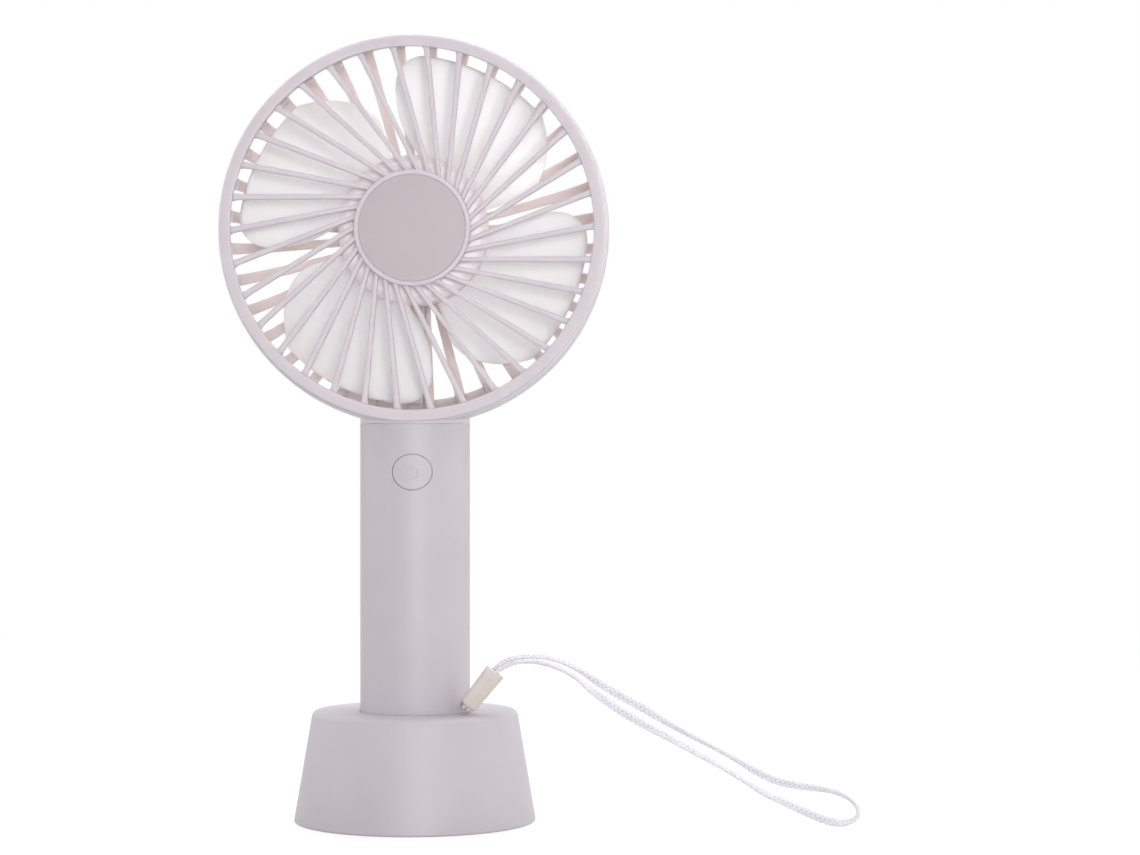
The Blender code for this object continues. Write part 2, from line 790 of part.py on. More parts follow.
def make_battery_tab(name, height):
    front = CELL_Y - CELL_R + TAB_T
    low = (-TAB_W / 2, front, height)
    high = (TAB_W / 2, front + TAB_LEN, height + TAB_T)
    return block(name, low, high)


# Head shell


def rim_profile():
    points = []
    steps = 4
    for k in range(steps + 1):
        depth = RIM_FRONT_D + (RIM_REAR_D - RIM_FRONT_D) * k / steps
        share = (depth - RIM_WIDEST_D) / (RIM_WIDEST_D - RIM_FRONT_D)
        points.append((HEAD_R - RIM_BULGE * share**2, depth))
    points.append((RIM_INNER_R, RIM_REAR_D))
    points.append((RIM_INNER_R, RIM_FRONT_D))
    return points


def rear_bar(index):
    angle = math.tau * (index + 0.5) / REAR_BARS
    last = math.pi / 2
    widths = (REAR_BAR_W_OUT, REAR_BAR_W_IN)
    return dome_bar("rear_bar", angle, 0.0, last, 4, widths, 0.0, REAR_BAR_DEPTH)


def rear_bars():
    free = [k for k in range(REAR_BARS) if not in_channel(k)]
    return joined("rear_bars", [rear_bar(k) for k in free])


def in_channel(index):
    angle = math.tau * (index + 0.5) / REAR_BARS
    return abs(math.remainder(angle - DOWN, math.tau)) < math.tau / REAR_BARS


def motor_pod():
    corners = [
        (0, POD_FLOOR_D, 0),
        (POD_IN_R, POD_FLOOR_D, 0),
        (POD_IN_R, MOTOR_FRONT_D, 0),
        (POD_R, MOTOR_FRONT_D, 0),
        (POD_R, DOME_START_D + DOME_H - REAR_BAR_DEPTH - GAP, 0),
        (POD_FLANGE_R, DOME_START_D + DOME_H - REAR_BAR_DEPTH + GAP, 0),
        (POD_FLANGE_R, DOME_START_D + DOME_H + GAP, POD_FLANGE_EDGE),
        (POD_REAR_R, POD_REAR_D, POD_REAR_EDGE),
        (0, POD_REAR_D, 0),
    ]
    return turned("motor_pod", rounded(corners, 1), CAP_STEPS)


def neck_web():
    last = dome_turn(NECK_WEB_INNER_R)
    steps = 5
    outer = [dome_point(last * k / steps, GAP) for k in range(steps + 1)]
    inner = [dome_point(last * k / steps, GAP + NECK_WEB_T) for k in range(steps, -1, -1)]
    sections = []
    turns = 8
    for k in range(turns + 1):
        angle = DOWN - NECK_WEB_HALF + 2 * NECK_WEB_HALF * k / turns
        sections.append([head_point(r, angle, d) for r, d in outer + inner])
    return loft("neck_web", sections)


def head_hollow():
    front = RING_FRONT_D * 2
    clear = RING_R + GAP
    wall = RIM_INNER_R + GAP
    step = RIM_FRONT_D + GAP / 2
    points = [(0, front), (clear, front), (clear, step), (wall, step)]
    points += [dome_point(t, NECK_WEB_T - NECK_SINK) for t in (0.12, 0.25, 0.4, 0.6, 0.9, 1.2)]
    points.append((0, DOME_START_D + DOME_H - NECK_WEB_T))
    return turned("head_hollow", points, RIM_STEPS)


def neck_collar():
    spigot = TUBE_IN - GAP
    top = COLLAR_Z + HANDLE_R
    corners = [
        (spigot - SPIGOT_WALL, COLLAR_Z - SPIGOT_LEN, 0),
        (spigot, COLLAR_Z - SPIGOT_LEN, 0),
        (spigot, COLLAR_Z, 0),
        (HANDLE_R, COLLAR_Z, HANDLE_EDGE),
        (HANDLE_R, top, 0),
        (spigot - SPIGOT_WALL, top, 0),
    ]
    collar = turned("neck_collar", rounded(corners, 1), ROUND_STEPS)
    low = COLLAR_Z + COLLAR_REAR_H
    slope = [
        (HANDLE_R + GAP, low),
        (COLLAR_SLOPE_Y, low + COLLAR_SLOPE_RISE),
        (COLLAR_SLOPE_Y, top + HANDLE_R),
        (HANDLE_R * 2, top + HANDLE_R),
        (HANDLE_R * 2, low),
    ]
    trim = prism("collar_trim", slope, -HANDLE_R * 1.5, HANDLE_R * 1.5)
    axes = Matrix(((0, 0, 1, 0), (1, 0, 0, 0), (0, 1, 0, 0), (0, 0, 0, 1)))
    cut(collar, moved(trim, axes))
    return cut(moved(collar, to_head()), head_hollow())


def wire_passage():
    half = GROOVE_W / 2
    front = DOME_START_D + PASSAGE_SETBACK
    low = (-half, front, COLLAR_Z - SPIGOT_LEN)
    high = (half, front + PASSAGE_LEN, HEAD_Z - NECK_WEB_INNER_R + PASSAGE_RISE)
    return moved(block("wire_passage", low, high), to_head())


def pod_wire_slot():
    half = GROOVE_W / 2
    rear = DOME_START_D + DOME_H - GROOVE_FLOOR
    inner = POD_IN_R - GAP * 2
    return block("pod_wire_slot", (-half, inner, rear - POD_SLOT_H), (half, POD_FLANGE_R + GAP, rear))


def retainer_screw_hole(side):
    rear = RETAINER_D + RETAINER_SCREW_LEN + GAP
    hole = prism("retainer_hole", circle(SCREW_HOLE_R, PIN_STEPS), RETAINER_D - GAP, rear)
    return moved(hole, Matrix.Translation((side * RETAINER_SCREW_R, 0, 0)))


def make_head_shell():
    shell = turned("head_shell", rim_profile(), RIM_STEPS)
    union(shell, rear_bars())
    union(shell, motor_pod())
    inner_end = dome_turn(POD_R - CHANNEL_SINK)
    widths = (CHANNEL_W_OUT, CHANNEL_W_IN)
    channel = dome_bar("channel", DOWN, CHANNEL_START, inner_end, 6, widths, GAP / 2, CHANNEL_DEPTH)
    union(shell, channel)
    union(shell, neck_web())
    union(shell, neck_collar())
    first = dome_turn(NECK_WEB_INNER_R + GROOVE_FOOT)
    last = dome_turn(POD_R + GROOVE_HEAD)
    widths = (GROOVE_W, GROOVE_W)
    groove = dome_bar("groove", DOWN, first, last, 6, widths, GROOVE_FLOOR, CHANNEL_DEPTH + GAP)
    cut(shell, groove)
    cut(shell, wire_passage())
    cut(shell, pod_wire_slot())
    for side in (-1, 1):
        cut(shell, retainer_screw_hole(side))
    return shell


def make_wire_cover():
    first = dome_turn(NECK_WEB_INNER_R + COVER_FOOT)
    last = dome_turn(POD_FLANGE_R + COVER_HEAD)
    width = GROOVE_W - 2 * GAP
    low = CHANNEL_DEPTH - COVER_T
    return dome_bar("wire_cover", DOWN, first, last, 6, (width, width), low, CHANNEL_DEPTH)


# Front grille


def grille_ring():
    skirt_in = SKIRT_R - SKIRT_T
    corners = [
        (RING_R, RING_BACK_D, 0),
        (RING_R, RING_FRONT_D, RING_OUTER_FILLET),
        (RING_INNER_R, RING_FRONT_D, RING_INNER_FILLET),
        (RING_INNER_R, RING_BACK_D - SKIRT_BEVEL, 0),
        (skirt_in, RING_BACK_D + SKIRT_BEVEL, 0),
        (skirt_in, RING_BACK_D + SKIRT_LEN, 0),
        (SKIRT_R, RING_BACK_D + SKIRT_LEN, 0),
        (SKIRT_R, RING_BACK_D, 0),
    ]
    return turned("front_grille", rounded(corners, 2), RING_STEPS)


def grille_disc():
    seat = DISC_R - DISC_RIM_W
    corners = [
        (0, DISC_FRONT_D + BADGE_SEAT, 0),
        (seat, DISC_FRONT_D + BADGE_SEAT, 0),
        (seat, DISC_FRONT_D, 0),
        (DISC_R, DISC_FRONT_D, DISC_EDGE),
        (DISC_R, DISC_FRONT_D + DISC_DEPTH, 0),
        (0, DISC_FRONT_D + DISC_DEPTH, 0),
    ]
    return turned("grille_disc", rounded(corners, 1), ROUND_STEPS)


def front_bar(index):
    back = BAR_FRONT_D + BAR_DEPTH
    near = math.sqrt((DISC_R - DISC_RIM_W / 2) ** 2 - BAR_OFFSET**2)
    far = math.sqrt((RING_INNER_R + BAR_RING_W / 2) ** 2 - BAR_OFFSET**2)
    ends = []
    for travel, width in ((near, BAR_W), (far, BAR_RING_W)):
        half = width / 2
        section = [(half, back), (half, BAR_FRONT_D + BAR_EDGE), (half - BAR_EDGE, BAR_FRONT_D)]
        section += [(-x, d) for x, d in reversed(section)]
        ends.append([Vector((BAR_OFFSET + x, -travel, d)) for x, d in section])
    turn = BAR_PHASE + math.tau * index / FRONT_BARS
    return moved(loft("front_bar", ends), Matrix.Rotation(-turn, 4, "Z"))


def pry_notch():
    inner = RING_R - NOTCH_DEPTH
    low = (inner, -NOTCH_LEN / 2, RING_FRONT_D)
    high = (RING_R + RING_W, NOTCH_LEN / 2, RING_BACK_D + GAP)
    return moved(block("pry_notch", low, high), Matrix.Rotation(-NOTCH_ANGLE, 4, "Z"))


def make_front_grille():
    grille = grille_ring()
    union(grille, joined("front_bars", [front_bar(k) for k in range(FRONT_BARS)]))
    union(grille, grille_disc())
    return cut(grille, pry_notch())


def make_grille_badge():
    radius = DISC_R - DISC_RIM_W - GAP
    back = DISC_FRONT_D + BADGE_SEAT - GAP
    front = back - BADGE_T
    corners = [(0, front, 0), (radius, front, BADGE_EDGE), (radius, back, 0), (0, back, 0)]
    return turned("grille_badge", rounded(corners, 1), ROUND_STEPS)


# Impeller


def blade_edges(radius):
    trailing = TRAIL_ANGLE
    if radius > TRAIL_SWEEP_R:
        trailing += TRAIL_SWEEP * ((radius - TRAIL_SWEEP_R) / (BLADE_TIP_R - TRAIL_SWEEP_R)) ** TRAIL_POWER
    leading = LEAD_ANGLE
    if radius < LEAD_SWEEP_R:
        leading -= LEAD_SWEEP * ((LEAD_SWEEP_R - radius) / (LEAD_SWEEP_R - HUB_R)) ** LEAD_POWER
    into_corner = min((radius - BLADE_TIP_R) / BLADE_CORNER_R + 1, 1)
    if into_corner > 0:
        leading -= BLADE_CORNER_SWEEP * (1 - math.sqrt(1 - into_corner**2))
    return trailing, leading


def blade_point(span, chord):
    root = HUB_R - HUB_WALL / 2
    radius = root + (BLADE_TIP_R - root) * (1 - (1 - span) ** BLADE_CROWDING)
    low, high = blade_edges(max(radius, HUB_R))
    depth = BLADE_ROOT_DEPTH + (BLADE_TIP_DEPTH - BLADE_ROOT_DEPTH) * span
    sag = BLADE_CAMBER * math.sin(math.pi * chord)
    return head_point(radius, low + (high - low) * chord, BLADE_MID_D + depth * (0.5 - chord) + sag)


def blade(index):
    bm = bmesh.new()
    bmesh.ops.create_grid(bm, x_segments=6, y_segments=7, size=1)
    for vert in bm.verts:
        vert.co = blade_point((vert.co.x + 1) / 2, (vert.co.y + 1) / 2)
    grown = bmesh.ops.extrude_face_region(bm, geom=bm.faces[:])
    lifted = [v for v in grown["geom"] if isinstance(v, bmesh.types.BMVert)]
    bmesh.ops.translate(bm, verts=lifted, vec=(0, 0, BLADE_T))
    shape = finish_mesh("blade", bm)
    return moved(shape, Matrix.Rotation(-math.tau * index / BLADES, 4, "Z"))


def make_impeller():
    inner = HUB_R - HUB_WALL
    floor = HUB_FRONT_D + HUB_WALL
    tip = BOSS_FRONT_D - RUN_GAP
    corners = [
        (0, HUB_FRONT_D, 0),
        (HUB_FRONT_R, HUB_FRONT_D, HUB_EDGE),
        (HUB_R, HUB_FRONT_D + (HUB_R - HUB_FRONT_R), HUB_EDGE),
        (HUB_R, HUB_REAR_D, 0),
        (inner, HUB_REAR_D, 0),
        (inner, floor + HUB_WALL, 0),
        (inner - HUB_WALL, floor, 0),
        (HUB_BOSS_R, floor, 0),
        (HUB_BOSS_R, tip, 0),
        (BORE_R, tip, 0),
        (BORE_R, floor + GAP, 0),
        (0, floor + GAP, 0),
    ]
    impeller = turned("impeller", rounded(corners, 1), ROUND_STEPS)
    return union(impeller, joined("blades", [blade(k) for k in range(BLADES)]))


# Motor


def make_motor_can():
    inner = MOTOR_R - CAN_WALL
    seat = BUSH_R + GAP
    corners = [
        (BORE_R, BOSS_FRONT_D, 0),
        (BOSS_R, BOSS_FRONT_D, 0),
        (BOSS_R, MOTOR_FRONT_D, 0),
        (MOTOR_R, MOTOR_FRONT_D, CAN_WALL),
        (MOTOR_R, CAN_REAR_D, 0),
        (inner, CAN_REAR_D, 0),
        (inner, MOTOR_FRONT_D + CAN_WALL, 0),
        (seat, MOTOR_FRONT_D + CAN_WALL, 0),
        (seat, BOSS_FRONT_D + GAP, 0),
        (BORE_R, BOSS_FRONT_D + GAP, 0),
    ]
    return turned("motor_can", rounded(corners, 2), SMALL_STEPS)


def make_motor_end_bell():
    plug = MOTOR_R - CAN_WALL - GAP
    seat = BUSH_R + GAP
    floor = BELL_D + CAN_WALL
    corners = [
        (0, BELL_REAR_D, 0),
        (BELL_R, BELL_REAR_D, BELL_EDGE),
        (BELL_R, BELL_D, 0),
        (plug, BELL_D, 0),
        (plug, BELL_D - BELL_PLUG_LEN, 0),
        (plug - CAN_WALL, BELL_D - BELL_PLUG_LEN, 0),
        (plug - CAN_WALL, floor, 0),
        (seat, floor, 0),
        (seat, BELL_REAR_D - GAP * 2, 0),
        (0, BELL_REAR_D - GAP * 2, 0),
    ]
    return turned("motor_end_bell", rounded(corners, 1), SMALL_STEPS)


def make_bush(name, depth, length):
    corners = [(BORE_R, depth), (BUSH_R, depth), (BUSH_R, depth + length), (BORE_R, depth + length)]
    return turned(name, corners, BUSH_STEPS)


def make_magnet(name, middle):
    outer = MOTOR_R - CAN_WALL - GAP
    outline = arc(outer, middle - MAGNET_HALF, middle + MAGNET_HALF, 8)
    outline += arc(outer - MAGNET_T, middle + MAGNET_HALF, middle - MAGNET_HALF, 8)
    front = MOTOR_FRONT_D + CAN_WALL + GAP
    return prism(name, outline, front, front + MAGNET_LEN)


def make_armature():
    radius = MOTOR_R - CAN_WALL - GAP - MAGNET_T - AIR_GAP
    root = radius - SHOE_T
    outline = []
    for pole in range(3):
        middle = math.tau * pole / 3
        outline += arc(radius, middle - SHOE_HALF, middle + SHOE_HALF, 4)
        outline.append(polar(root, middle + SHOE_ROOT_HALF))
        outline.append(polar(ARMATURE_NECK_R, middle + math.pi / 3))
        outline.append(polar(root, middle + math.tau / 3 - SHOE_ROOT_HALF))
    front = armature_front()
    core = prism("armature", outline, front, front + ARMATURE_LEN)
    return cut(core, prism("core_bore", circle(BORE_R, PIN_STEPS), front - GAP, front + ARMATURE_LEN + GAP))


def armature_front():
    return BOSS_FRONT_D + GAP * 2 + BUSH_LEN + RUN_GAP


def make_commutator():
    front = armature_front() + ARMATURE_LEN + GAP
    rear = front + COMMUTATOR_LEN
    corners = [(BORE_R, front), (COMMUTATOR_R, front), (COMMUTATOR_R, rear), (BORE_R, rear)]
    return turned("commutator", corners, BUSH_STEPS)


def make_motor_shaft():
    front = HUB_FRONT_D + HUB_WALL + GAP * 2
    rear = BELL_REAR_D - GAP * 3
    return prism("motor_shaft", circle(SHAFT_R, PIN_STEPS), front, rear)


def make_motor_retainer():
    corners = [
        (BOSS_R + GAP, RETAINER_D),
        (POD_R, RETAINER_D),
        (POD_R, RETAINER_D + RETAINER_T),
        (BOSS_R + GAP, RETAINER_D + RETAINER_T),
    ]
    plate = turned("motor_retainer", corners, SMALL_STEPS)
    for side in (-1, 1):
        cut(plate, retainer_screw_hole(side))
    return plate


def make_retainer_screw(name, side):
    place = Matrix.Translation((side * RETAINER_SCREW_R, 0, RETAINER_D - GAP))
    return moved(screw(name, RETAINER_SCREW_LEN), place)


# Wires


def make_motor_lead(name, side):
    last = dome_turn(POD_R + GAP)
    first = dome_turn(NECK_WEB_INNER_R - LEAD_INSET)
    inward = GROOVE_FLOOR + GAP + LEAD_R
    inside = [dome_point(last, inward)[1], BELL_R + GAP + LEAD_R]
    route = [(side * LEAD_X, inside[0], HEAD_Z - inside[1])]
    steps = 6
    for k in range(steps + 1):
        radius, depth = dome_point(last + (first - last) * k / steps, inward)
        route.append((side * LEAD_X, depth, HEAD_Z - radius))
    passage = DOME_START_D + PASSAGE_SETBACK + PASSAGE_LEN / 2
    below = HEAD_Z - HEAD_R - GAP * 2 - LEAD_R
    route.append((side * LEAD_X, passage, COLLAR_Z + COLLAR_REAR_H))
    route.append((side * LEAD_X, passage - GAP, below + LEAD_R))
    route.append((side * LEAD_X, passage - PASSAGE_LEN, below))
    landing = BOARD_Z + CONTROL_BOARD_H + GAP + LEAD_R
    route.append((side * LEAD_X * 2, BOARD_FRONT_Y + BOARD_T / 2, landing))
    return tube(name, smooth_route(route, 18), LEAD_R, 1)


def make_lower_battery_lead(name):
    board = BOARD_FRONT_Y + BOARD_T / 2
    tab_front = CELL_Y - CELL_R + TAB_T - GAP - LEAD_R
    foot = (-TAB_LEAD_X, tab_front, LOWER_TAB_Z + TAB_T / 2)
    top = BOARD_Z - GAP - LEAD_R
    rise = (foot[2] + LEAD_BEND, top - LEAD_BEND, top)
    route = [foot] + [(-LOWER_LEAD_X, board, height) for height in rise]
    return tube(name, smooth_route(route, 9), LEAD_R, 1)


def make_upper_battery_lead(name):
    board = BOARD_FRONT_Y + BOARD_T / 2
    tab = (TAB_LEAD_X, CELL_Y - CELL_R + TAB_LEN / 4, UPPER_TAB_Z + TAB_T + GAP + LEAD_R)
    landing = (UPPER_LEAD_X, board, BOARD_Z + CONTROL_BOARD_H + GAP + LEAD_R)
    crest = (UPPER_LEAD_X, (tab[1] + board) / 2, max(tab[2], landing[2]) + LEAD_R)
    return tube(name, smooth_route([tab, crest, landing], 8), LEAD_R, 1)


# Strap


def sleeve_axes():
    along = (SLEEVE_TIP - SLEEVE_FOOT).normalized()
    deep = Vector((0, 1, 0))
    return along, along.cross(deep).normalized(), deep


def make_strap_sleeve():
    along, across, deep = sleeve_axes()
    half_t = SLEEVE_T / 2
    length = (SLEEVE_TIP - SLEEVE_FOOT).length
    inset = SLEEVE_EDGE / 2
    sections = []
    for travel, trim in ((0, inset), (inset, 0), (length - inset, 0), (length, inset)):
        half_w = (SLEEVE_FOOT_W + (SLEEVE_TIP_W - SLEEVE_FOOT_W) * travel / length) / 2 - trim
        deep_half = half_t - trim
        signs = [(-1, -1), (1, -1), (1, 1), (-1, 1)]
        outline = rounded([(i * half_w, j * deep_half, SLEEVE_EDGE) for i, j in signs], 3)
        centre = SLEEVE_FOOT + along * travel
        sections.append([centre + across * x + deep * y for x, y in outline])
    return loft("strap_sleeve", sections)


def make_strap_tether():
    along, across, deep = sleeve_axes()
    end = SLEEVE_FOOT - along * (GAP + TETHER_R)
    exits = [end + across * TETHER_SPREAD / 2, end - across * TETHER_SPREAD / 2]
    inner_r = TUBE_IN - TETHER_HOLE_R
    route = []
    for place, angle in zip(exits, TETHER_HOLE_ANGLES):
        leg = [place, place + deep * (SLEEVE_T / 2 + GAP + TETHER_R)]
        for radius in (HANDLE_R + TETHER_HOLE_R, HANDLE_R - HANDLE_WALL / 2, inner_r):
            leg.append(Vector((radius * math.cos(angle), radius * math.sin(angle), STRAP_HOLE_Z)))
        route.append(leg)
    middle = sum(TETHER_HOLE_ANGLES) / 2
    bend_r = inner_r - TETHER_R
    bend = Vector((bend_r * math.cos(middle), bend_r * math.sin(middle), STRAP_HOLE_Z))
    return tube("strap_tether", smooth_route(route[0] + [bend] + route[1][::-1], 17), TETHER_R, 1)


def make_wrist_strap():
    return tube("wrist_strap", smooth_route(STRAP_ROUTE, STRAP_POINTS), STRAP_R, 2)


# Materials


def material(name, colour, roughness, metallic=0.0):
    made = bpy.data.materials.new(name)
    made.use_nodes = True
    shader = made.node_tree.nodes["Principled BSDF"]
    shader.inputs["Base Color"].default_value = (*colour, 1)
    shader.inputs["Roughness"].default_value = roughness
    shader.inputs["Metallic"].default_value = metallic
    made.diffuse_color = (*colour, 1)
    return made


def make_materials():
    return {
        "shell": material("shell_white", (0.76, 0.72, 0.76), 0.38),
        "blade": material("blade_white", (0.86, 0.83, 0.84), 0.35),
        "badge": material("badge_white", (0.62, 0.55, 0.57), 0.45),
        "rubber": material("sleeve_ivory", (0.68, 0.60, 0.55), 0.55),
        "strap": material("strap_white", (0.80, 0.79, 0.78), 0.85),
        "steel": material("steel_bright", (0.56, 0.56, 0.57), 0.30, 1.0),
        "bronze": material("bronze_bush", (0.45, 0.28, 0.14), 0.40, 1.0),
        "magnet": material("ferrite_dark", (0.05, 0.05, 0.05), 0.70),
        "core": material("core_steel", (0.25, 0.24, 0.23), 0.45, 1.0),
        "copper": material("copper_bars", (0.72, 0.36, 0.20), 0.35, 1.0),
        "board": material("board_green", (0.02, 0.12, 0.05), 0.45),
        "chip": material("chip_black", (0.02, 0.02, 0.02), 0.50),
        "wrap": material("cell_wrap", (0.05, 0.16, 0.42), 0.35),
        "nickel": material("nickel_tab", (0.60, 0.57, 0.52), 0.35, 1.0),
        "red": material("lead_red", (0.45, 0.03, 0.03), 0.50),
        "black": material("lead_black", (0.02, 0.02, 0.02), 0.50),
    }


# Assembly


def empty(name, location, rotation, parent=None):
    made = bpy.data.objects.new(name, None)
    made.location = location
    made.rotation_euler = rotation
    made.parent = parent
    bpy.context.scene.collection.objects.link(made)
    return made


def shade(obj):
    if obj.type == "MESH":
        obj.data.shade_smooth()
        obj.data.set_sharp_from_angle(angle=math.radians(35))


def place(obj, finish, parent=None):
    obj.data.materials.clear()
    obj.data.materials.append(finish)
    obj.parent = parent
    shade(obj)
    return obj


def recentre(obj, origin):
    obj.data.transform(Matrix.Translation(-Vector(origin)))
    obj.location = origin


def build():
    for old in list(bpy.data.objects):
        bpy.data.objects.remove(old)
    finish = make_materials()
    head = empty("head_axis", (0, 0, HEAD_Z), (-math.pi / 2, 0, 0))
    spin = empty("impeller_axis", (0, 0, 0), (0, 0, 0), head)

    place(make_stand_shell(), finish["shell"])
    place(make_handle_tube(), finish["shell"])
    place(make_end_cap(), finish["shell"])

    button = place(make_power_button(), finish["shell"])
    recentre(button, (0, -HANDLE_R, BUTTON_Z))
    plunger = place(make_switch_plunger(), finish["chip"])
    recentre(plunger, (0, PLUNGER_TIP_Y, BUTTON_Z))
    place(make_switch_body(), finish["steel"])

    place(make_inner_frame(), finish["shell"])
    place(make_battery_cell(), finish["wrap"])
    place(make_battery_tab("battery_tab_bottom", LOWER_TAB_Z), finish["nickel"])
    place(make_battery_tab("battery_tab_top", UPPER_TAB_Z), finish["nickel"])
    place(make_control_board(), finish["board"])
    place(make_drive_chip(), finish["chip"])
    place(make_charge_board(), finish["board"])
    place(make_charge_socket(), finish["steel"])
    for name, spot in board_screw_places().items():
        place(make_board_screw(name, spot), finish["steel"])

    place(make_head_shell(), finish["shell"], head)
    place(make_wire_cover(), finish["shell"], head)
    place(make_front_grille(), finish["shell"], head)
    place(make_grille_badge(), finish["badge"], head)

    place(make_motor_can(), finish["steel"], head)
    place(make_motor_end_bell(), finish["chip"], head)
    place(make_bush("motor_bush_front", BOSS_FRONT_D + GAP * 2, BUSH_LEN), finish["bronze"], head)
    rear_bush_d = BELL_REAR_D - GAP * 3 - REAR_BUSH_LEN
    place(make_bush("motor_bush_rear", rear_bush_d, REAR_BUSH_LEN), finish["bronze"], head)
    place(make_magnet("magnet_upper", -math.pi / 2), finish["magnet"], head)
    place(make_magnet("magnet_lower", math.pi / 2), finish["magnet"], head)
    place(make_motor_retainer(), finish["shell"], head)
    place(make_retainer_screw("retainer_screw_left", -1), finish["steel"], head)
    place(make_retainer_screw("retainer_screw_right", 1), finish["steel"], head)

    place(make_impeller(), finish["blade"], spin)
    place(make_motor_shaft(), finish["steel"], spin)
    place(make_armature(), finish["core"], spin)
    place(make_commutator(), finish["copper"], spin)

    place(make_motor_lead("motor_lead_red", 1), finish["red"])
    place(make_motor_lead("motor_lead_black", -1), finish["black"])
    place(make_lower_battery_lead("battery_lead_black"), finish["black"])
    place(make_upper_battery_lead("battery_lead_red"), finish["red"])

    place(make_strap_sleeve(), finish["rubber"])
    place(make_strap_tether(), finish["strap"])
    place(make_wrist_strap(), finish["strap"])


build()
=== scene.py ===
import json
import math

import bmesh
import bpy
from mathutils import Matrix, Vector


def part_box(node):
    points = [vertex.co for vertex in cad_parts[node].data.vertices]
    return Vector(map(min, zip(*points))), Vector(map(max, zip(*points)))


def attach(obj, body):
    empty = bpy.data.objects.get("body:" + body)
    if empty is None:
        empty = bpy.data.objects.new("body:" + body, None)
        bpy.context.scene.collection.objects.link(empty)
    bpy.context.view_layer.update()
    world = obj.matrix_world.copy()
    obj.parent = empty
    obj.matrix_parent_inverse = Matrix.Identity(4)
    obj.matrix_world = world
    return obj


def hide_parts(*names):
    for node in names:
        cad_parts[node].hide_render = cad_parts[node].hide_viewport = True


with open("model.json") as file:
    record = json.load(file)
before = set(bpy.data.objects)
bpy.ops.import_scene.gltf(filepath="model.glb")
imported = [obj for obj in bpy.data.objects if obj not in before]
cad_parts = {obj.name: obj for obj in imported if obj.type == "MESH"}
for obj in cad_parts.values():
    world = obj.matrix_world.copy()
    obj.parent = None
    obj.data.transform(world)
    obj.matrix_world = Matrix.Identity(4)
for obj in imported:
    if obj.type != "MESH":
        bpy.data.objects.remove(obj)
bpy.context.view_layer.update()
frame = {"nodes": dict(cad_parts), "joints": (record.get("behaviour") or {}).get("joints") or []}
scene = bpy.context.scene
mm = 0.001
wideSteps, smallSteps = 192, 96  # facets round large and small turned pieces

# Places read from the frame
joints = {joint["name"]: joint for joint in frame["joints"]}
headCentre = Vector(joints["impeller_spin"]["pos_m"])
# in the head's own frame z runs to the rear
headTurn = Matrix.Translation(headCentre) @ Matrix.Rotation(-math.pi / 2, 4, "X")
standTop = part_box("stand_shell")[1].z
tubeLow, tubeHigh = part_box("handle_tube")
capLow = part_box("handle_end_cap")[0]
buttonLow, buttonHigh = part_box("power_button")
buttonZ = (buttonLow.z + buttonHigh.z) / 2
portLow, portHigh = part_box("charge_socket")
down = -math.pi / 2

# Camera, level with the handle and square to the grille
cameraSet = {"place": (41.3 * mm, -750 * mm, 105.3 * mm), "lens": 88.8, "shiftY": -0.0022}
lens = bpy.data.cameras.new("camera")
lens.lens = cameraSet["lens"]
lens.shift_y = cameraSet["shiftY"]
eye = bpy.data.objects.new("camera", lens)
eye.location = cameraSet["place"]
eye.rotation_euler = (math.pi / 2, 0, 0)
scene.collection.objects.link(eye)
scene.camera = eye
print("camera set")


# Materials
cloudSpan = (0.3, 0.7)  # the noise seldom leaves this span


def linear(text):
    parts = [int(text[k:k + 2], 16) / 255 for k in (1, 3, 5)]
    return [p / 12.92 if p <= 0.04045 else ((p + 0.055) / 1.055) ** 2.4 for p in parts] + [1]


def addNode(tree, kind, values=None, links=None):
    node = tree.nodes.new("ShaderNode" + kind)
    for key, value in (values or {}).items():
        if isinstance(key, int) or key in node.inputs:
            node.inputs[key].default_value = value
        else:
            setattr(node, key, value)
    for key, output in (links or {}).items():
        tree.links.new(output, node.inputs[key])
    return node


def makeFinish(name, spec):
    finish = bpy.data.materials.new(name)
    finish.use_nodes = True
    tree = finish.node_tree
    shader = tree.nodes["Principled BSDF"]
    for key, value in spec.get("sockets", {}).items():
        shader.inputs[key].default_value = value
    place = addNode(tree, "TexCoord").outputs[spec.get("space", "Object")]
    patch = addNode(tree, "Mapping", {"Scale": [1 / size for size in spec["patch"]]}, {"Vector": place})
    cloud = addNode(tree, "TexNoise", {"Scale": 1, "Detail": 3}, {"Vector": patch.outputs[0]})
    tint = addNode(tree, "ValToRGB", None, {"Fac": cloud.outputs["Fac"]})
    for stop, position, colour in zip(tint.color_ramp.elements, cloudSpan, spec["colours"]):
        stop.position = position
        stop.color = linear(colour)
    tree.links.new(tint.outputs["Color"], shader.inputs["Base Color"])
    low, high = spec["roughness"]
    gloss = addNode(tree, "MapRange", {"From Min": cloudSpan[0], "From Max": cloudSpan[1], "To Min": low,
                                       "To Max": high}, {"Value": cloud.outputs["Fac"]})
    tree.links.new(gloss.outputs[0], shader.inputs["Roughness"])
    grain = addNode(tree, "Mapping", {"Scale": [1 / size for size in spec["grain"]]}, {"Vector": place})
    if spec.get("lines"):
        relief = addNode(tree, "TexWave", {"Scale": 1, "Distortion": 1.5, "bands_direction": "DIAGONAL"},
                         {"Vector": grain.outputs[0]})
    else:
        relief = addNode(tree, "TexNoise", {"Scale": 1, "Detail": 2}, {"Vector": grain.outputs[0]})
    bump = addNode(tree, "Bump", {"Strength": 1, "Distance": spec["height"]},
                   {"Height": relief.outputs["Fac"]})
    tree.links.new(bump.outputs[0], shader.inputs["Normal"])
    return finish


def even(size):
    return (size, size, size)


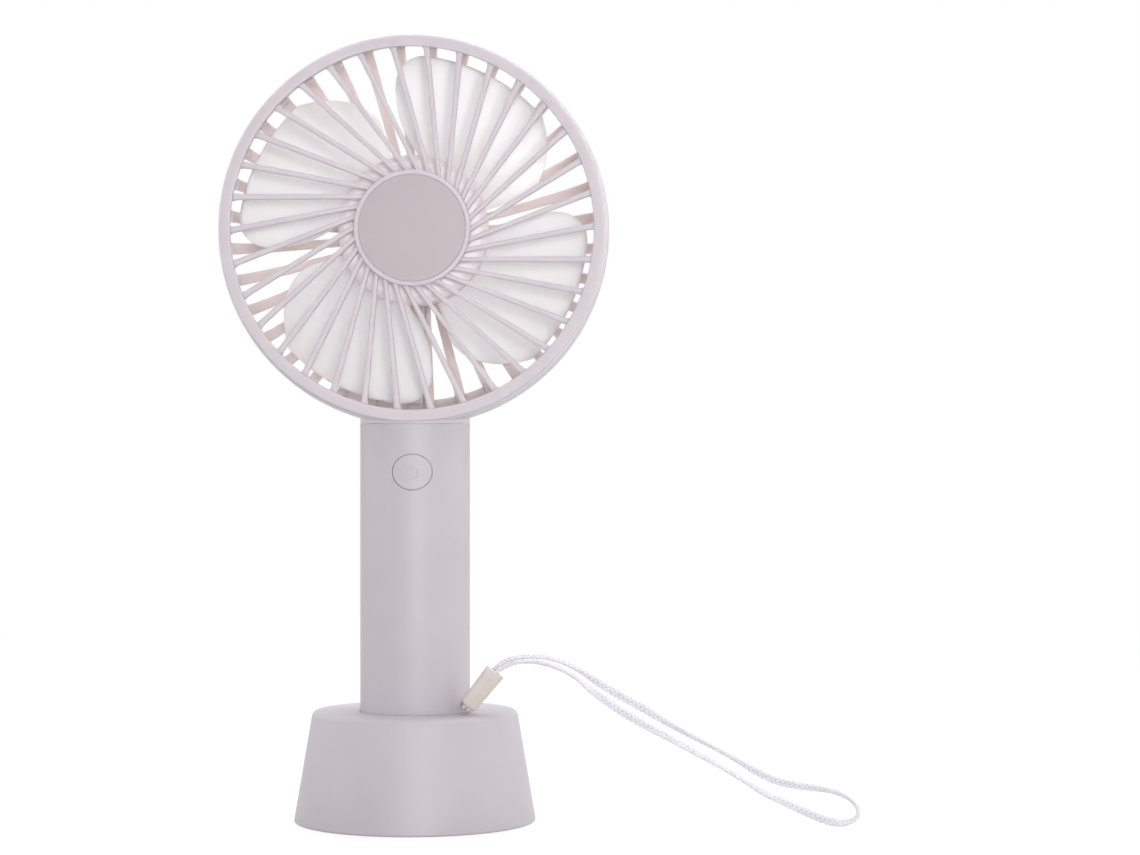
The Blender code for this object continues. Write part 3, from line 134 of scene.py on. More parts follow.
finishSet = {
    # ABS from a spark-etched mould: a soft sheen with no clear reflections, tone almost even
    "shell": {"colours": ("#BEB7BE", "#C3BCC3"), "patch": even(16 * mm), "roughness": (0.46, 0.52),
              "grain": even(0.3 * mm), "height": 0.003 * mm, "sockets": {"IOR": 1.54}},
    # the head's ABS, a little smoother than the handle's; its lighter tone than the handle's is painted
    # light, for the light on the head's side wall
    "rim": {"colours": ("#CFC9CF", "#D4CED4"), "patch": even(16 * mm), "roughness": (0.4, 0.46),
            "grain": even(0.3 * mm), "height": 0.003 * mm, "sockets": {"IOR": 1.54}},
    # the same ABS in the front ring and bars: thin, so that a little light passes and softens their shade;
    # their tone, lighter than the handle's, is painted light
    "grille": {"colours": ("#CFC7CC", "#D4CCD1"), "patch": even(12 * mm), "roughness": (0.5, 0.56),
               "grain": even(0.3 * mm), "height": 0.003 * mm,
               "sockets": {"IOR": 1.54, "Subsurface Weight": 0.8, "Subsurface Radius": (1.0, 0.95, 0.95),
                           "Subsurface Scale": 1.5 * mm}},
    # the same ABS in the rear bars, where more light passes through; their lighter, warmer tone is painted
    # light, for the light they let through and to lift their shade
    "bars": {"colours": ("#E2D9D7", "#E7DFDD"), "patch": even(12 * mm), "roughness": (0.4, 0.48),
             "grain": even(0.3 * mm), "height": 0.003 * mm,
             "sockets": {"IOR": 1.54, "Subsurface Weight": 0.9, "Subsurface Radius": (1.0, 0.96, 0.95),
                         "Subsurface Scale": 2 * mm}},
    # polypropylene from a polished mould: light spreads inside it, so that thin blades glow
    "blade": {"colours": ("#FFF5FB", "#FFF8FD"), "patch": even(18 * mm), "roughness": (0.3, 0.38),
              "grain": even(0.6 * mm), "height": 0.002 * mm,
              "sockets": {"IOR": 1.49, "Subsurface Weight": 1.0, "Subsurface Radius": (1.0, 0.95, 0.92),
                          "Subsurface Scale": 2.2 * mm}},
    # the same polypropylene where it is backed by the hub's thick walls: plain white, less glow
    "hub": {"colours": ("#FFF5F7", "#FFF9FB"), "patch": even(18 * mm), "roughness": (0.35, 0.42),
            "grain": even(0.6 * mm), "height": 0.002 * mm, "sockets": {"IOR": 1.49}},
    # matt ABS, greyer than the rim round it: the grey is painted shade, for the darker centre of the disc
    "badge": {"colours": ("#B6ABB0", "#BAB0B4"), "patch": even(10 * mm), "roughness": (0.5, 0.56),
              "grain": even(0.25 * mm), "height": 0.003 * mm, "sockets": {"IOR": 1.52}},
    # silicone rubber from a matt mould: soft, waxy, a little translucent
    "sleeve": {"colours": ("#D5CEC9", "#DAD4D0"), "patch": even(5 * mm), "roughness": (0.5, 0.6),
               "grain": even(0.4 * mm), "height": 0.006 * mm,
               "sockets": {"IOR": 1.41, "Subsurface Weight": 0.9, "Subsurface Radius": (1.0, 0.8, 0.65),
                           "Subsurface Scale": 2.5 * mm}},
    # polyester yarn, braided: fine filaments run along each yarn and scatter the light
    "braid": {"colours": ("#E8E6ED", "#F0EEF4"), "patch": (0.004, 0.5, 1), "roughness": (0.75, 0.85),
              "grain": (0.0009, 0.5, 1), "height": 0.02 * mm, "space": "UV", "lines": True,
              "sockets": {"IOR": 1.57, "Sheen Weight": 0.3}},
    # the braid's filling, painted dark grey: painted shade for the shadow between the yarns
    "core": {"colours": ("#A2A0AE", "#ADABB8"), "patch": even(2 * mm), "roughness": (0.8, 0.9),
             "grain": even(0.4 * mm), "height": 0.01 * mm, "sockets": {"IOR": 1.57}},
    # the same yarn, twisted and waxed: ivory
    "cord": {"colours": ("#F0E8DF", "#F6EFE8"), "patch": (0.004, 0.5, 1), "roughness": (0.6, 0.7),
             "grain": (0.0009, 0.5, 1), "height": 0.02 * mm, "space": "UV", "lines": True,
             "sockets": {"IOR": 1.5, "Subsurface Weight": 0.5, "Subsurface Radius": (1.0, 0.8, 0.6),
                         "Subsurface Scale": 1 * mm}},
    # steel sheet, drawn and nickel plated: bright, with faint lines along the draw
    "steel": {"colours": ("#B9B8B6", "#C9C8C6"), "patch": (6 * mm, 0.6 * mm, 6 * mm),
              "roughness": (0.22, 0.34), "grain": (4 * mm, 0.15 * mm, 4 * mm), "height": 0.002 * mm,
              "sockets": {"Metallic": 1.0}},
    # bronze powder, pressed and sintered: dull brown gold with open pores
    "bronze": {"colours": ("#A37A4C", "#B88C5A"), "patch": even(0.8 * mm), "roughness": (0.38, 0.55),
               "grain": even(0.15 * mm), "height": 0.02 * mm, "sockets": {"Metallic": 1.0}},
    # ferrite, sintered and ground: charcoal, matt, finely pitted
    "ferrite": {"colours": ("#36363A", "#444448"), "patch": even(1.5 * mm), "roughness": (0.6, 0.75),
                "grain": even(0.2 * mm), "height": 0.015 * mm, "sockets": {"IOR": 2.3}},
    # silicon steel, stamped and stacked: dark plates with fine lines between them
    "plates": {"colours": ("#6E6B68", "#8A8783"), "patch": (4 * mm, 0.5 * mm, 4 * mm),
               "roughness": (0.35, 0.5), "grain": (3 * mm, 0.25 * mm, 3 * mm), "height": 0.02 * mm,
               "sockets": {"Metallic": 1.0}},
    # copper, turned: warm and bright, with rings from the tool
    "copper": {"colours": ("#C9855C", "#DB9A70"), "patch": (3 * mm, 0.4 * mm, 3 * mm),
               "roughness": (0.25, 0.4), "grain": (2 * mm, 0.12 * mm, 2 * mm), "height": 0.004 * mm,
               "sockets": {"Metallic": 1.0}},
    # glass epoxy laminate under green solder mask: the weave shows faintly through the lacquer
    "board": {"colours": ("#1F5A38", "#2B6F47"), "patch": even(3 * mm), "roughness": (0.3, 0.42),
              "grain": even(0.5 * mm), "height": 0.006 * mm, "sockets": {"IOR": 1.55, "Coat Weight": 0.3}},
    # epoxy, transfer moulded: black and slightly grainy
    "epoxy": {"colours": ("#242424", "#303030"), "patch": even(2 * mm), "roughness": (0.45, 0.6),
              "grain": even(0.2 * mm), "height": 0.008 * mm, "sockets": {"IOR": 1.55}},
    # PVC film, heat shrunk: smooth blue skin with slow ripples
    "wrap": {"colours": ("#2E5FA6", "#3A6DB4"), "patch": even(9 * mm), "roughness": (0.22, 0.32),
             "grain": even(3 * mm), "height": 0.02 * mm, "sockets": {"IOR": 1.54}},
    # nickel strip, rolled: grey, with lines along the roll
    "strip": {"colours": ("#BDB8AE", "#CFCAC0"), "patch": (0.6 * mm, 6 * mm, 2 * mm),
              "roughness": (0.25, 0.38), "grain": (0.15 * mm, 4 * mm, 1 * mm), "height": 0.003 * mm,
              "sockets": {"Metallic": 1.0}},
    # PVC, extruded over wire: smooth, with a soft gloss
    "redLead": {"colours": ("#A83434", "#B94040"), "patch": even(4 * mm), "roughness": (0.35, 0.45),
                "grain": even(0.5 * mm), "height": 0.004 * mm, "sockets": {"IOR": 1.54}},
    "blackLead": {"colours": ("#262626", "#333333"), "patch": even(4 * mm), "roughness": (0.35, 0.45),
                  "grain": even(0.5 * mm), "height": 0.004 * mm, "sockets": {"IOR": 1.54}},
}
finishes = {name: makeFinish(name, spec) for name, spec in finishSet.items()}
print("materials made")


# Shape helpers
weldGap, sameSpot = 1e-7, 1e-6


# a corner is a radius, a height and, where it is rounded, how far
def turned(corners, steps):
    bm = bmesh.new()
    verts = [bm.verts.new((corner[0], 0, corner[1])) for corner in corners]
    edges = [bm.edges.new(pair) for pair in zip(verts, verts[1:])]
    if corners[0][0] > 0:
        edges.append(bm.edges.new((verts[-1], verts[0])))
    bmesh.ops.spin(bm, geom=verts + edges, axis=(0, 0, 1), cent=(0, 0, 0), steps=steps, angle=math.tau,
                   use_merge=True)
    bmesh.ops.remove_doubles(bm, verts=bm.verts, dist=weldGap)
    bmesh.ops.recalc_face_normals(bm, faces=bm.faces)
    for radius, height, *setback in corners:
        if any(setback):
            roundRing(bm, radius, height, *setback)
    return bm


def roundRing(bm, radius, height, setback):
    ring = []
    for edge in bm.edges:
        misses = [abs(math.hypot(v.co.x, v.co.y) - radius) + abs(v.co.z - height) for v in edge.verts]
        if max(misses) < sameSpot:
            ring.append(edge)
    bmesh.ops.bevel(bm, geom=ring, offset=setback, affect="EDGES", segments=5, profile=0.5, material=-1)


def lofted(rings):
    bm = bmesh.new()
    verts = [bm.verts.new(point) for point in rings[0]]
    edges = [bm.edges.new((verts[k - 1], verts[k])) for k in range(len(verts))]
    bm.faces.new(verts)
    for ring in rings[1:]:
        grown = bmesh.ops.extrude_edge_only(bm, edges=edges)["geom"]
        fresh = {item for item in grown if isinstance(item, bmesh.types.BMVert)}
        verts = [next(v for v in (e.other_vert(old) for e in old.link_edges) if v in fresh)
                 for old in verts]
        edges = [item for item in grown
                 if isinstance(item, bmesh.types.BMEdge) and fresh.issuperset(item.verts)]
        for vert, point in zip(verts, ring):
            vert.co = point
    bm.faces.new(verts)
    bmesh.ops.recalc_face_normals(bm, faces=bm.faces)
    return bm


def gathered(parts):
    bm = bmesh.new()
    for part in parts:
        mesh = bpy.data.meshes.new("part")
        part.to_mesh(mesh)
        part.free()
        bm.from_mesh(mesh)
        bpy.data.meshes.remove(mesh)
    return bm


def combined(target, tool, operation):
    objects = []
    for bm in (target, tool):
        bmesh.ops.recalc_face_normals(bm, faces=bm.faces)
        mesh = bpy.data.meshes.new("operand")
        bm.to_mesh(mesh)
        bm.free()
        objects.append(bpy.data.objects.new("operand", mesh))
        scene.collection.objects.link(objects[-1])
    step = objects[0].modifiers.new("combine", "BOOLEAN")
    step.operation = operation
    step.solver = "EXACT"
    step.object = objects[1]
    bpy.context.view_layer.update()
    result = bmesh.new()
    result.from_object(objects[0], bpy.context.evaluated_depsgraph_get())
    for item in objects:
        bpy.data.objects.remove(item)
    return result


def painted(bm, index):
    for face in bm.faces:
        face.material_index = index
    return bm


def moved(bm, matrix):
    bmesh.ops.transform(bm, matrix=matrix, verts=bm.verts)
    return bm


def makePiece(name, bm, looks, body, nodes, sharp=32):
    bmesh.ops.recalc_face_normals(bm, faces=bm.faces)
    mesh = bpy.data.meshes.new(name)
    bm.to_mesh(mesh)
    bm.free()
    mesh.shade_smooth()
    mesh.set_sharp_from_angle(angle=math.radians(sharp))
    for look in looks:
        mesh.materials.append(finishes[look])
    piece = bpy.data.objects.new(name, mesh)
    scene.collection.objects.link(piece)
    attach(piece, body)
    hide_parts(*nodes)
    print(name, len(mesh.polygons), "faces")
    return piece


def arcPoints(radius, first, last, steps):
    turns = [first + (last - first) * k / steps for k in range(steps + 1)]
    return [(radius * math.cos(turn), radius * math.sin(turn)) for turn in turns]


def roundBox(halfW, halfH, radius, steps=4):
    points = []
    for sx, sy, first in ((1, 1, 0), (-1, 1, 0.5), (-1, -1, 1), (1, -1, 1.5)):
        for x, y in arcPoints(radius, first * math.pi, (first + 0.5) * math.pi, steps):
            points.append((sx * (halfW - radius) + x, sy * (halfH - radius) + y))
    return points


def ovalPoints(halfW, halfH, steps):
    turns = [math.tau * k / steps for k in range(steps)]
    return [(halfW * math.cos(turn), halfH * math.sin(turn)) for turn in turns]


def alongX(outline, stops):
    return lofted([[(x, y, z) for y, z in outline] for x in stops])


def alongY(outline, stops, height=0):
    return lofted([[(x, y, height + z) for x, z in outline] for y in stops])


def headPoint(radius, angle, depth):
    return Vector((radius * math.cos(angle), -radius * math.sin(angle), depth))


# Wrist strap: a flat tubular braid, two sets of yarns wound opposite ways over and under each other.
# The route is the frame's own strap, with the returning end drawn up to the other strand at the sleeve.
# The last number is how far the flat side turns from the front, in degrees.
strapRoute = [
    (21.8, -9.4, 41.3, 90), (24.2, -9.5, 43.1, 90), (28.2, -9.7, 44.2, 90), (33.0, -9.9, 44.3, 90),
    (38.0, -10.1, 43.4, 86), (43.4, -10.3, 41.0, 70), (48.9, -10.5, 37.5, 22), (54.4, -10.7, 34.2, 6),
    (60.6, -10.8, 30.8, 12), (66.5, -11.0, 27.3, 40), (72.7, -11.2, 23.9, 58), (79.0, -11.4, 20.7, 66),
    (85.0, -11.6, 17.4, 58), (90.7, -11.8, 14.1, 22), (95.6, -12.0, 11.9, 6), (101.0, -12.2, 10.7, 16),
    (106.5, -12.5, 10.0, 38), (111.0, -12.8, 9.1, 58), (114.6, -13.2, 7.4, 76), (116.6, -13.7, 5.0, 90),
    (116.4, -14.4, 2.9, 90), (114.5, -15.1, 1.7, 70), (111.8, -15.8, 1.4, 46), (108.0, -16.3, 2.2, 14),
    (103.5, -16.2, 4.0, 12), (98.0, -16.0, 6.5, 32), (91.9, -15.6, 9.3, 54), (86.0, -15.3, 13.0, 66),
    (79.5, -15.0, 16.8, 64), (72.9, -14.7, 20.4, 52), (66.4, -14.4, 23.9, 38), (60.0, -14.2, 27.3, 16),
    (53.6, -13.9, 31.1, 16), (47.4, -13.6, 35.5, 44), (41.9, -13.3, 39.8, 84), (36.5, -13.1, 42.3, 90),
    (31.0, -12.9, 43.35, 90), (26.6, -12.7, 42.95, 90), (22.5, -12.5, 40.95, 90),
]
sleeveFoot = Vector((14.4, -10.9, 31.3)) * mm
sleeveTip = Vector((21.7, -10.9, 40.5)) * mm
sleeveAlong = (sleeveTip - sleeveFoot).normalized()
sleeveDeep = Vector((0, 1, 0))
sleeveAcross = sleeveAlong.cross(sleeveDeep)
strapSet = {"width": 2.4 * mm, "thick": 1.4 * mm, "yarns": 4, "lay": 5.2 * mm, "yarnWidth": 0.64 * mm,
            "yarnThick": 0.45 * mm, "spacing": 0.22 * mm, "tucked": 1.4 * mm, "coreSides": 8,
            "facing": Vector((0, -1, 0))}
tetherRoute = [
    (13.9, -10.9, 32.0), (13.39, -10.9, 31.15), (13.39, -7.95, 31.15), (13.99, -7.13, 31.9),
    (12.3, -6.27, 31.9), (10.6, -5.4, 31.9), (10.83, -3.73, 31.9), (11.68, -2.27, 31.9),
    (13.55, -2.63, 31.9), (15.41, -3.0, 31.9), (14.48, -7.95, 30.28), (14.48, -10.9, 30.28),
    (15.0, -10.9, 31.1),
]
tetherSet = {"radius": 0.21 * mm, "yarn": 0.24 * mm, "yarns": 3, "lay": 2.4 * mm, "spacing": 0.15 * mm}


def smoothRoute(points, spacing):
    pieces = 24  # between two stops
    stops = [Vector(point) for point in points]
    ends = [2 * stops[0] - stops[1]] + stops + [2 * stops[-1] - stops[-2]]
    fine = []
    for a, b, c, d in zip(ends, ends[1:], ends[2:], ends[3:]):
        for k in range(pieces):
            t = k / pieces
            curve = (2 * a - 5 * b + 4 * c - d) * t**2 + (3 * b - a - 3 * c + d) * t**3
            fine.append((2 * b + (c - a) * t + curve) / 2)
    fine.append(stops[-1])
    travel = [0.0]
    for a, b in zip(fine, fine[1:]):
        travel.append(travel[-1] + (b - a).to_3d().length)
    count = round(travel[-1] / spacing)
    route, i = [], 0
    for k in range(count + 1):
        target = travel[-1] * k / count
        while i < len(fine) - 2 and travel[i + 1] < target:
            i += 1
        route.append(fine[i].lerp(fine[i + 1], (target - travel[i]) / (travel[i + 1] - travel[i])))
    return route, travel[-1]


def tangents(places):
    spans = [places[min(k + 1, len(places) - 1)] - places[max(k - 1, 0)] for k in range(len(places))]
    return [span.normalized() for span in spans]


def yarn(places, outs, halfW, halfT, length):
    sides = 6
    rings = []
    for place, way, out in zip(places, tangents(places), outs):
        side = way.cross(out).normalized()
        out = side.cross(way)
        rings.append([place + side * x + out * y for x, y in ovalPoints(halfW, halfT, sides)])
    bm = lofted(rings)
    # the map runs along the yarn in metres and once round it
    sheet = bm.loops.layers.uv.new("yarn")
    bm.verts.ensure_lookup_table()
    for face in bm.faces:
        rounds = [loop.vert.index % sides / sides for loop in face.loops]
        for loop, turn in zip(face.loops, rounds):
            late = max(rounds) - turn > 0.5
            loop[sheet].uv = (loop.vert.index // sides * length / len(places), turn + late)
    return bm


strapPoints = [Vector((x * mm, y * mm, z * mm, math.radians(turn))) for x, y, z, turn in strapRoute]
tuck = sleeveAlong.to_4d() * strapSet["tucked"]
tuck.w = 0
strapPoints = [strapPoints[0] - tuck] + strapPoints + [strapPoints[-1] - tuck]
strapLine, strapLength = smoothRoute(strapPoints, strapSet["spacing"])
strapPath = [point.to_3d() for point in strapLine]
strapFrames = []
for point, way in zip(strapLine, tangents(strapPath)):
    flat = (strapSet["facing"] - way * way.dot(strapSet["facing"])).normalized()
    flat = Matrix.Rotation(point.w, 3, way) @ flat
    strapFrames.append((way.cross(flat), flat))
strapParts = []
halfW = (strapSet["width"] - strapSet["yarnThick"] * 2) / 2
halfT = (strapSet["thick"] - strapSet["yarnThick"] * 2) / 2
for hand in (1, -1):
    for k in range(strapSet["yarns"]):
        places, outs = [], []
        for step, (centre, (wide, flat)) in enumerate(zip(strapPath, strapFrames)):
            turns = strapLength * step / (len(strapPath) - 1) / strapSet["lay"]
            angle = math.tau * (hand * turns + k / strapSet["yarns"])
            weave = hand * math.cos(math.tau * strapSet["yarns"] * turns)  # over and under at each crossing
            out = (wide * math.cos(angle) * halfT + flat * math.sin(angle) * halfW).normalized()
            places.append(centre + wide * halfW * math.cos(angle) + flat * halfT * math.sin(angle)
                          + out * weave * strapSet["yarnThick"] / 2)
            outs.append(out)
        strapParts.append(yarn(places, outs, strapSet["yarnWidth"] / 2, strapSet["yarnThick"] / 2,
                               strapLength))
coreOutline = ovalPoints(halfW, halfT, strapSet["coreSides"])
coreRings = []
for centre, (wide, flat) in zip(strapPath, strapFrames):
    coreRings.append([centre + wide * x + flat * y for x, y in coreOutline])
# the filling carries the dark painted-shade finish
strapParts.append(painted(lofted(coreRings), 1))
strap = makePiece("wristStrap", gathered(strapParts), ["braid", "core"], "fan",
                  ["wrist_strap"], sharp=60)

# Tether: a thin twisted cord from the sleeve's foot through two holes in the handle
tetherPoints = [Vector(point) * mm for point in tetherRoute]
tetherLine, tetherLength = smoothRoute(tetherPoints, tetherSet["spacing"])
tetherWays = tangents(tetherLine)
tetherParts = []
for k in range(tetherSet["yarns"]):
    places, outs = [], []
    side = tetherWays[0].orthogonal().normalized()
    for step, (centre, way) in enumerate(zip(tetherLine, tetherWays)):
        side = (side - way * side.dot(way)).normalized()
        travel = tetherLength * step / (len(tetherLine) - 1)
        turn = math.tau * (travel / tetherSet["lay"] + k / tetherSet["yarns"])
        out = Matrix.Rotation(turn, 3, way) @ side
        places.append(centre + out * tetherSet["radius"])
        outs.append(out)
    tetherParts.append(yarn(places, outs, tetherSet["yarn"], tetherSet["yarn"], tetherLength))
tether = makePiece("strapTether", gathered(tetherParts), ["cord"], "fan", ["strap_tether"],
                   sharp=60)

# Sleeve: a moulded boot over the strap's ends, open at the tip
sleeveSet = {"footWidth": 4.4 * mm, "tipWidth": 5.4 * mm, "thick": 4.4 * mm, "edge": 1.2 * mm,
             "leastEdge": 0.15 * mm, "round": 0.9 * mm, "roundSteps": 4, "tipShare": 0.17,
             "wall": 0.9 * mm, "recess": 1.6 * mm}
sleeveLength = (sleeveTip - sleeveFoot).length
sleeveStops = []
for k in range(sleeveSet["roundSteps"] + 1):
    turn = math.pi / 2 * k / sleeveSet["roundSteps"]
    sleeveStops.append([sleeveSet["round"] * (1 - level) for level in (math.sin(turn), math.cos(turn))])
tipShare = sleeveSet["tipShare"]  # the tip is cut off almost square
tipStops = [(trim * tipShare, sleeveLength - travel * tipShare) for trim, travel in reversed(sleeveStops)]
hollow = [(sleeveSet["wall"], sleeveLength), (sleeveSet["wall"], sleeveLength - sleeveSet["recess"])]
sleeveRings = []
for trim, travel in sleeveStops + tipStops + hollow:
    width = sleeveSet["footWidth"] + (sleeveSet["tipWidth"] - sleeveSet["footWidth"]) * travel / sleeveLength
    corner = max(sleeveSet["edge"] - trim, sleeveSet["leastEdge"])
    outline = roundBox(width / 2 - trim, sleeveSet["thick"] / 2 - trim, corner)
    centre = sleeveFoot + sleeveAlong * travel
    sleeveRings.append([centre + sleeveAcross * x + sleeveDeep * y for x, y in outline])
sleeve = makePiece("strapSleeve", lofted(sleeveRings), ["sleeve"], "fan", ["strap_sleeve"],
                   sharp=50)
print("strap laid,", round(strapLength, 4), "m")

# Stand: a cone with a soft top edge and a socket for the handle, ribbed below
standSet = {"foot": 32.2 * mm, "top": 27.2 * mm, "wall": 2.0 * mm, "lid": 2.2 * mm, "topRound": 1.2 * mm,
            "footRound": 0.6 * mm, "depth": 21.3 * mm, "socketWall": 1.8 * mm, "floor": 2.0 * mm,
            "postRound": 0.4 * mm, "play": 0.15 * mm, "leadIn": 0.25 * mm, "webs": 6,
            "webThick": 1.4 * mm}
handleR = tubeHigh.x
bore = handleR + standSet["play"]
post = bore + standSet["socketWall"]
floorZ = standTop - standSet["depth"]
under = standTop - standSet["lid"]


def standWall(height):
    return standSet["foot"] + (standSet["top"] - standSet["foot"]) * height / standTop


standParts = [turned([
    (0, floorZ - standSet["floor"]), (post, floorZ - standSet["floor"], standSet["postRound"]),
    (post, under), (standWall(under) - standSet["wall"], under),
    (standSet["foot"] - standSet["wall"], 0), (standSet["foot"], 0, standSet["footRound"]),
    (standSet["top"], standTop, standSet["topRound"]), (bore, standTop, standSet["leadIn"]),
    (bore, floorZ), (0, floorZ)], wideSteps)]
low, high = floorZ - standSet["floor"] / 2, standTop - standSet["lid"] / 2
inner, sink, half = bore + standSet["socketWall"] / 2, standSet["wall"] / 2, standSet["webThick"] / 2
outline = [(inner, low), (standWall(low) - sink, low), (standWall(high) - sink, high), (inner, high)]
for k in range(standSet["webs"]):
    turn = Matrix.Rotation(math.tau * (k + 0.5) / standSet["webs"], 4, "Z")
    standParts.append(moved(alongY(outline, (-half, half)), turn))
makePiece("stand", gathered(standParts), ["shell"], "stand", ["stand_shell"])

# Handle tube, with the button's opening, the charging window and the strap's two holes
handleSet = {"wall": 1.6 * mm, "edge": 0.1 * mm, "footEdge": 0.3 * mm, "rise": 0.25 * mm,
             "buttonW": 10.4 * mm, "buttonH": 9.4 * mm, "gap": 0.1 * mm, "window": 0.4 * mm,
             "windowCorner": 0.9 * mm, "holeR": 0.55 * mm, "holeSteps": 24, "holeZ": 31.9 * mm,
             "holeTurns": (-27, -11)}
tubeIn = handleR - handleSet["wall"]
tubeTop = tubeHigh.z + handleSet["rise"]
through = (tubeIn / 2, 2 * handleR)  # from well inside the wall to well outside it
tube = turned([(tubeIn, tubeLow.z), (handleR, tubeLow.z, handleSet["footEdge"]),
               (handleR, tubeTop, handleSet["edge"]), (tubeIn, tubeTop)], wideSteps)
openHalves = [handleSet[size] / 2 + handleSet["gap"] for size in ("buttonW", "buttonH")]
opening = ovalPoints(*openHalves, smallSteps)
tube = combined(tube, alongY(opening, (-2 * handleR, -tubeIn / 2), buttonZ), "DIFFERENCE")
portHalf = (portHigh - portLow) / 2
portMid = (portHigh + portLow) / 2
window = roundBox(portHalf.x + handleSet["window"], portHalf.z + handleSet["window"],
                  handleSet["windowCorner"])
tube = combined(tube, alongY(window, through, portMid.z), "DIFFERENCE")
hole = ovalPoints(handleSet["holeR"], handleSet["holeR"], handleSet["holeSteps"])
for turn in handleSet["holeTurns"]:
    across = Matrix.Translation((0, 0, handleSet["holeZ"])) @ Matrix.Rotation(math.radians(turn), 4, "Z")
    tube = combined(tube, moved(alongX(hole, through), across), "DIFFERENCE")
makePiece("handleTube", tube, ["shell"], "fan", ["handle_tube"], sharp=25)

# End cap, pressed into the tube's foot
capSet = {"thick": 1.6 * mm, "plug": 3.0 * mm, "plugWall": 1.4 * mm, "plugEdge": 0.2 * mm,
          "gap": 0.3 * mm, "edge": 0.5 * mm}
plugR, capTop = tubeIn - capSet["gap"], capLow.z + capSet["thick"]
plugIn, plugTop = plugR - capSet["plugWall"], capTop + capSet["plug"]
cap = turned([
    (0, capLow.z), (handleR, capLow.z, capSet["edge"]), (handleR, capTop), (plugR, capTop),
    (plugR, plugTop, capSet["plugEdge"]), (plugIn, plugTop, capSet["plugEdge"]), (plugIn, capTop),
    (0, capTop)], smallSteps)
makePiece("endCap", cap, ["shell"], "fan", ["handle_end_cap"])

# Button, wrapped to the handle's curve, with a faint raised on-off sign
buttonSet = {"proud": 0.15 * mm, "edge": 0.25 * mm, "edgeSteps": 5, "lip": 1.0 * mm, "lipThick": 0.9 * mm,
             "gap": 0.3 * mm, "backShares": (0.05, 0.5, 1),
             "faceShares": (0.9, 0.75, 0.6, 0.45, 0.3, 0.15, 0.04), "signR": 1.6 * mm,
             "signLine": 0.2 * mm, "signSides": 10, "signRise": 0.05 * mm, "signOpen": 42,
             "signSteps": 40, "signDrop": 0.25 * mm, "barLow": 0.2 * mm, "barHigh": 1.9 * mm,
             "barSteps": 4}


def onHandle(outline, radius):
    return [Vector((x, -math.sqrt(radius**2 - x**2), buttonZ + z)) for x, z in outline]


def buttonRing(margin, radius, share=1):
    halves = [(size / 2 + margin) * share for size in (handleSet["buttonW"], handleSet["buttonH"])]
    return onHandle(ovalPoints(*halves, smallSteps), radius)


lipR = tubeIn - buttonSet["gap"]
faceR = handleR + buttonSet["proud"]
edge, edgeSteps = buttonSet["edge"], buttonSet["edgeSteps"]
lipBack = lipR - buttonSet["lipThick"]
buttonRings = [buttonRing(buttonSet["lip"], lipBack, share) for share in buttonSet["backShares"]]
buttonRings += [buttonRing(buttonSet["lip"], lipR), buttonRing(0, lipR)]
for k in range(edgeSteps + 1):
    turn = math.pi / 2 * k / edgeSteps
    buttonRings.append(buttonRing(-edge * (1 - math.cos(turn)), faceR - edge * (1 - math.sin(turn))))
buttonRings += [buttonRing(-edge, faceR, share) for share in buttonSet["faceShares"]]
buttonParts = [lofted(buttonRings)]


def signLine(points):
    rings = []
    flat = [Vector((x, 0, z)) for x, z in points]
    for place, way in zip(flat, tangents(flat)):
        side = way.cross(Vector((0, 1, 0)))
        ring = []
        for x, y in ovalPoints(buttonSet["signLine"], buttonSet["signRise"] * 2, buttonSet["signSides"]):
            at = place + side * x
            ring.append(onHandle([(at.x, at.z)], faceR + y)[0])
        rings.append(ring)
    return lofted(rings)


openTurn = math.radians(buttonSet["signOpen"])
signArc = arcPoints(buttonSet["signR"], math.pi / 2 + openTurn, math.pi / 2 + math.tau - openTurn,
                    buttonSet["signSteps"])
drop, barSteps = buttonSet["signDrop"], buttonSet["barSteps"]
buttonParts.append(signLine([(x, z - drop) for x, z in signArc]))
barSpan = buttonSet["barHigh"] - buttonSet["barLow"]
signBar = [(0, buttonSet["barLow"] - drop + barSpan * k / barSteps) for k in range(barSteps + 1)]
buttonParts.append(signLine(signBar))
makePiece("powerButton", gathered(buttonParts), ["shell"], "button", ["power_button"],
          sharp=40)
print("handle made")

# Charging socket: a folded steel shell round a moulded tongue
socketSet = {"wall": 0.4 * mm, "corner": 0.7 * mm, "innerShare": 0.6, "back": 1.4 * mm,
             "tongueW": 4.1 * mm, "tongueT": 0.6 * mm, "tongueEdge": 0.1 * mm, "tongueSet": 0.8 * mm}
outer = roundBox(portHalf.x, portHalf.z, socketSet["corner"])
inner = roundBox(portHalf.x - socketSet["wall"], portHalf.z - socketSet["wall"],
                 socketSet["corner"] * socketSet["innerShare"])
socketStops = [(outer, portLow.y), (outer, portHigh.y), (inner, portHigh.y),
               (inner, portLow.y + socketSet["back"])]
socketShell = lofted([[(x, y, portMid.z + z) for x, z in outline] for outline, y in socketStops])
tongue = roundBox(socketSet["tongueW"] / 2, socketSet["tongueT"] / 2, socketSet["tongueEdge"])
tongueStops = (portLow.y + socketSet["back"] / 2, portHigh.y - socketSet["tongueSet"])
tongueBar = painted(alongY(tongue, tongueStops, portMid.z), 1)
makePiece("chargeSocket", gathered([socketShell, tongueBar]), ["steel", "epoxy"], "fan",
          ["charge_socket"])

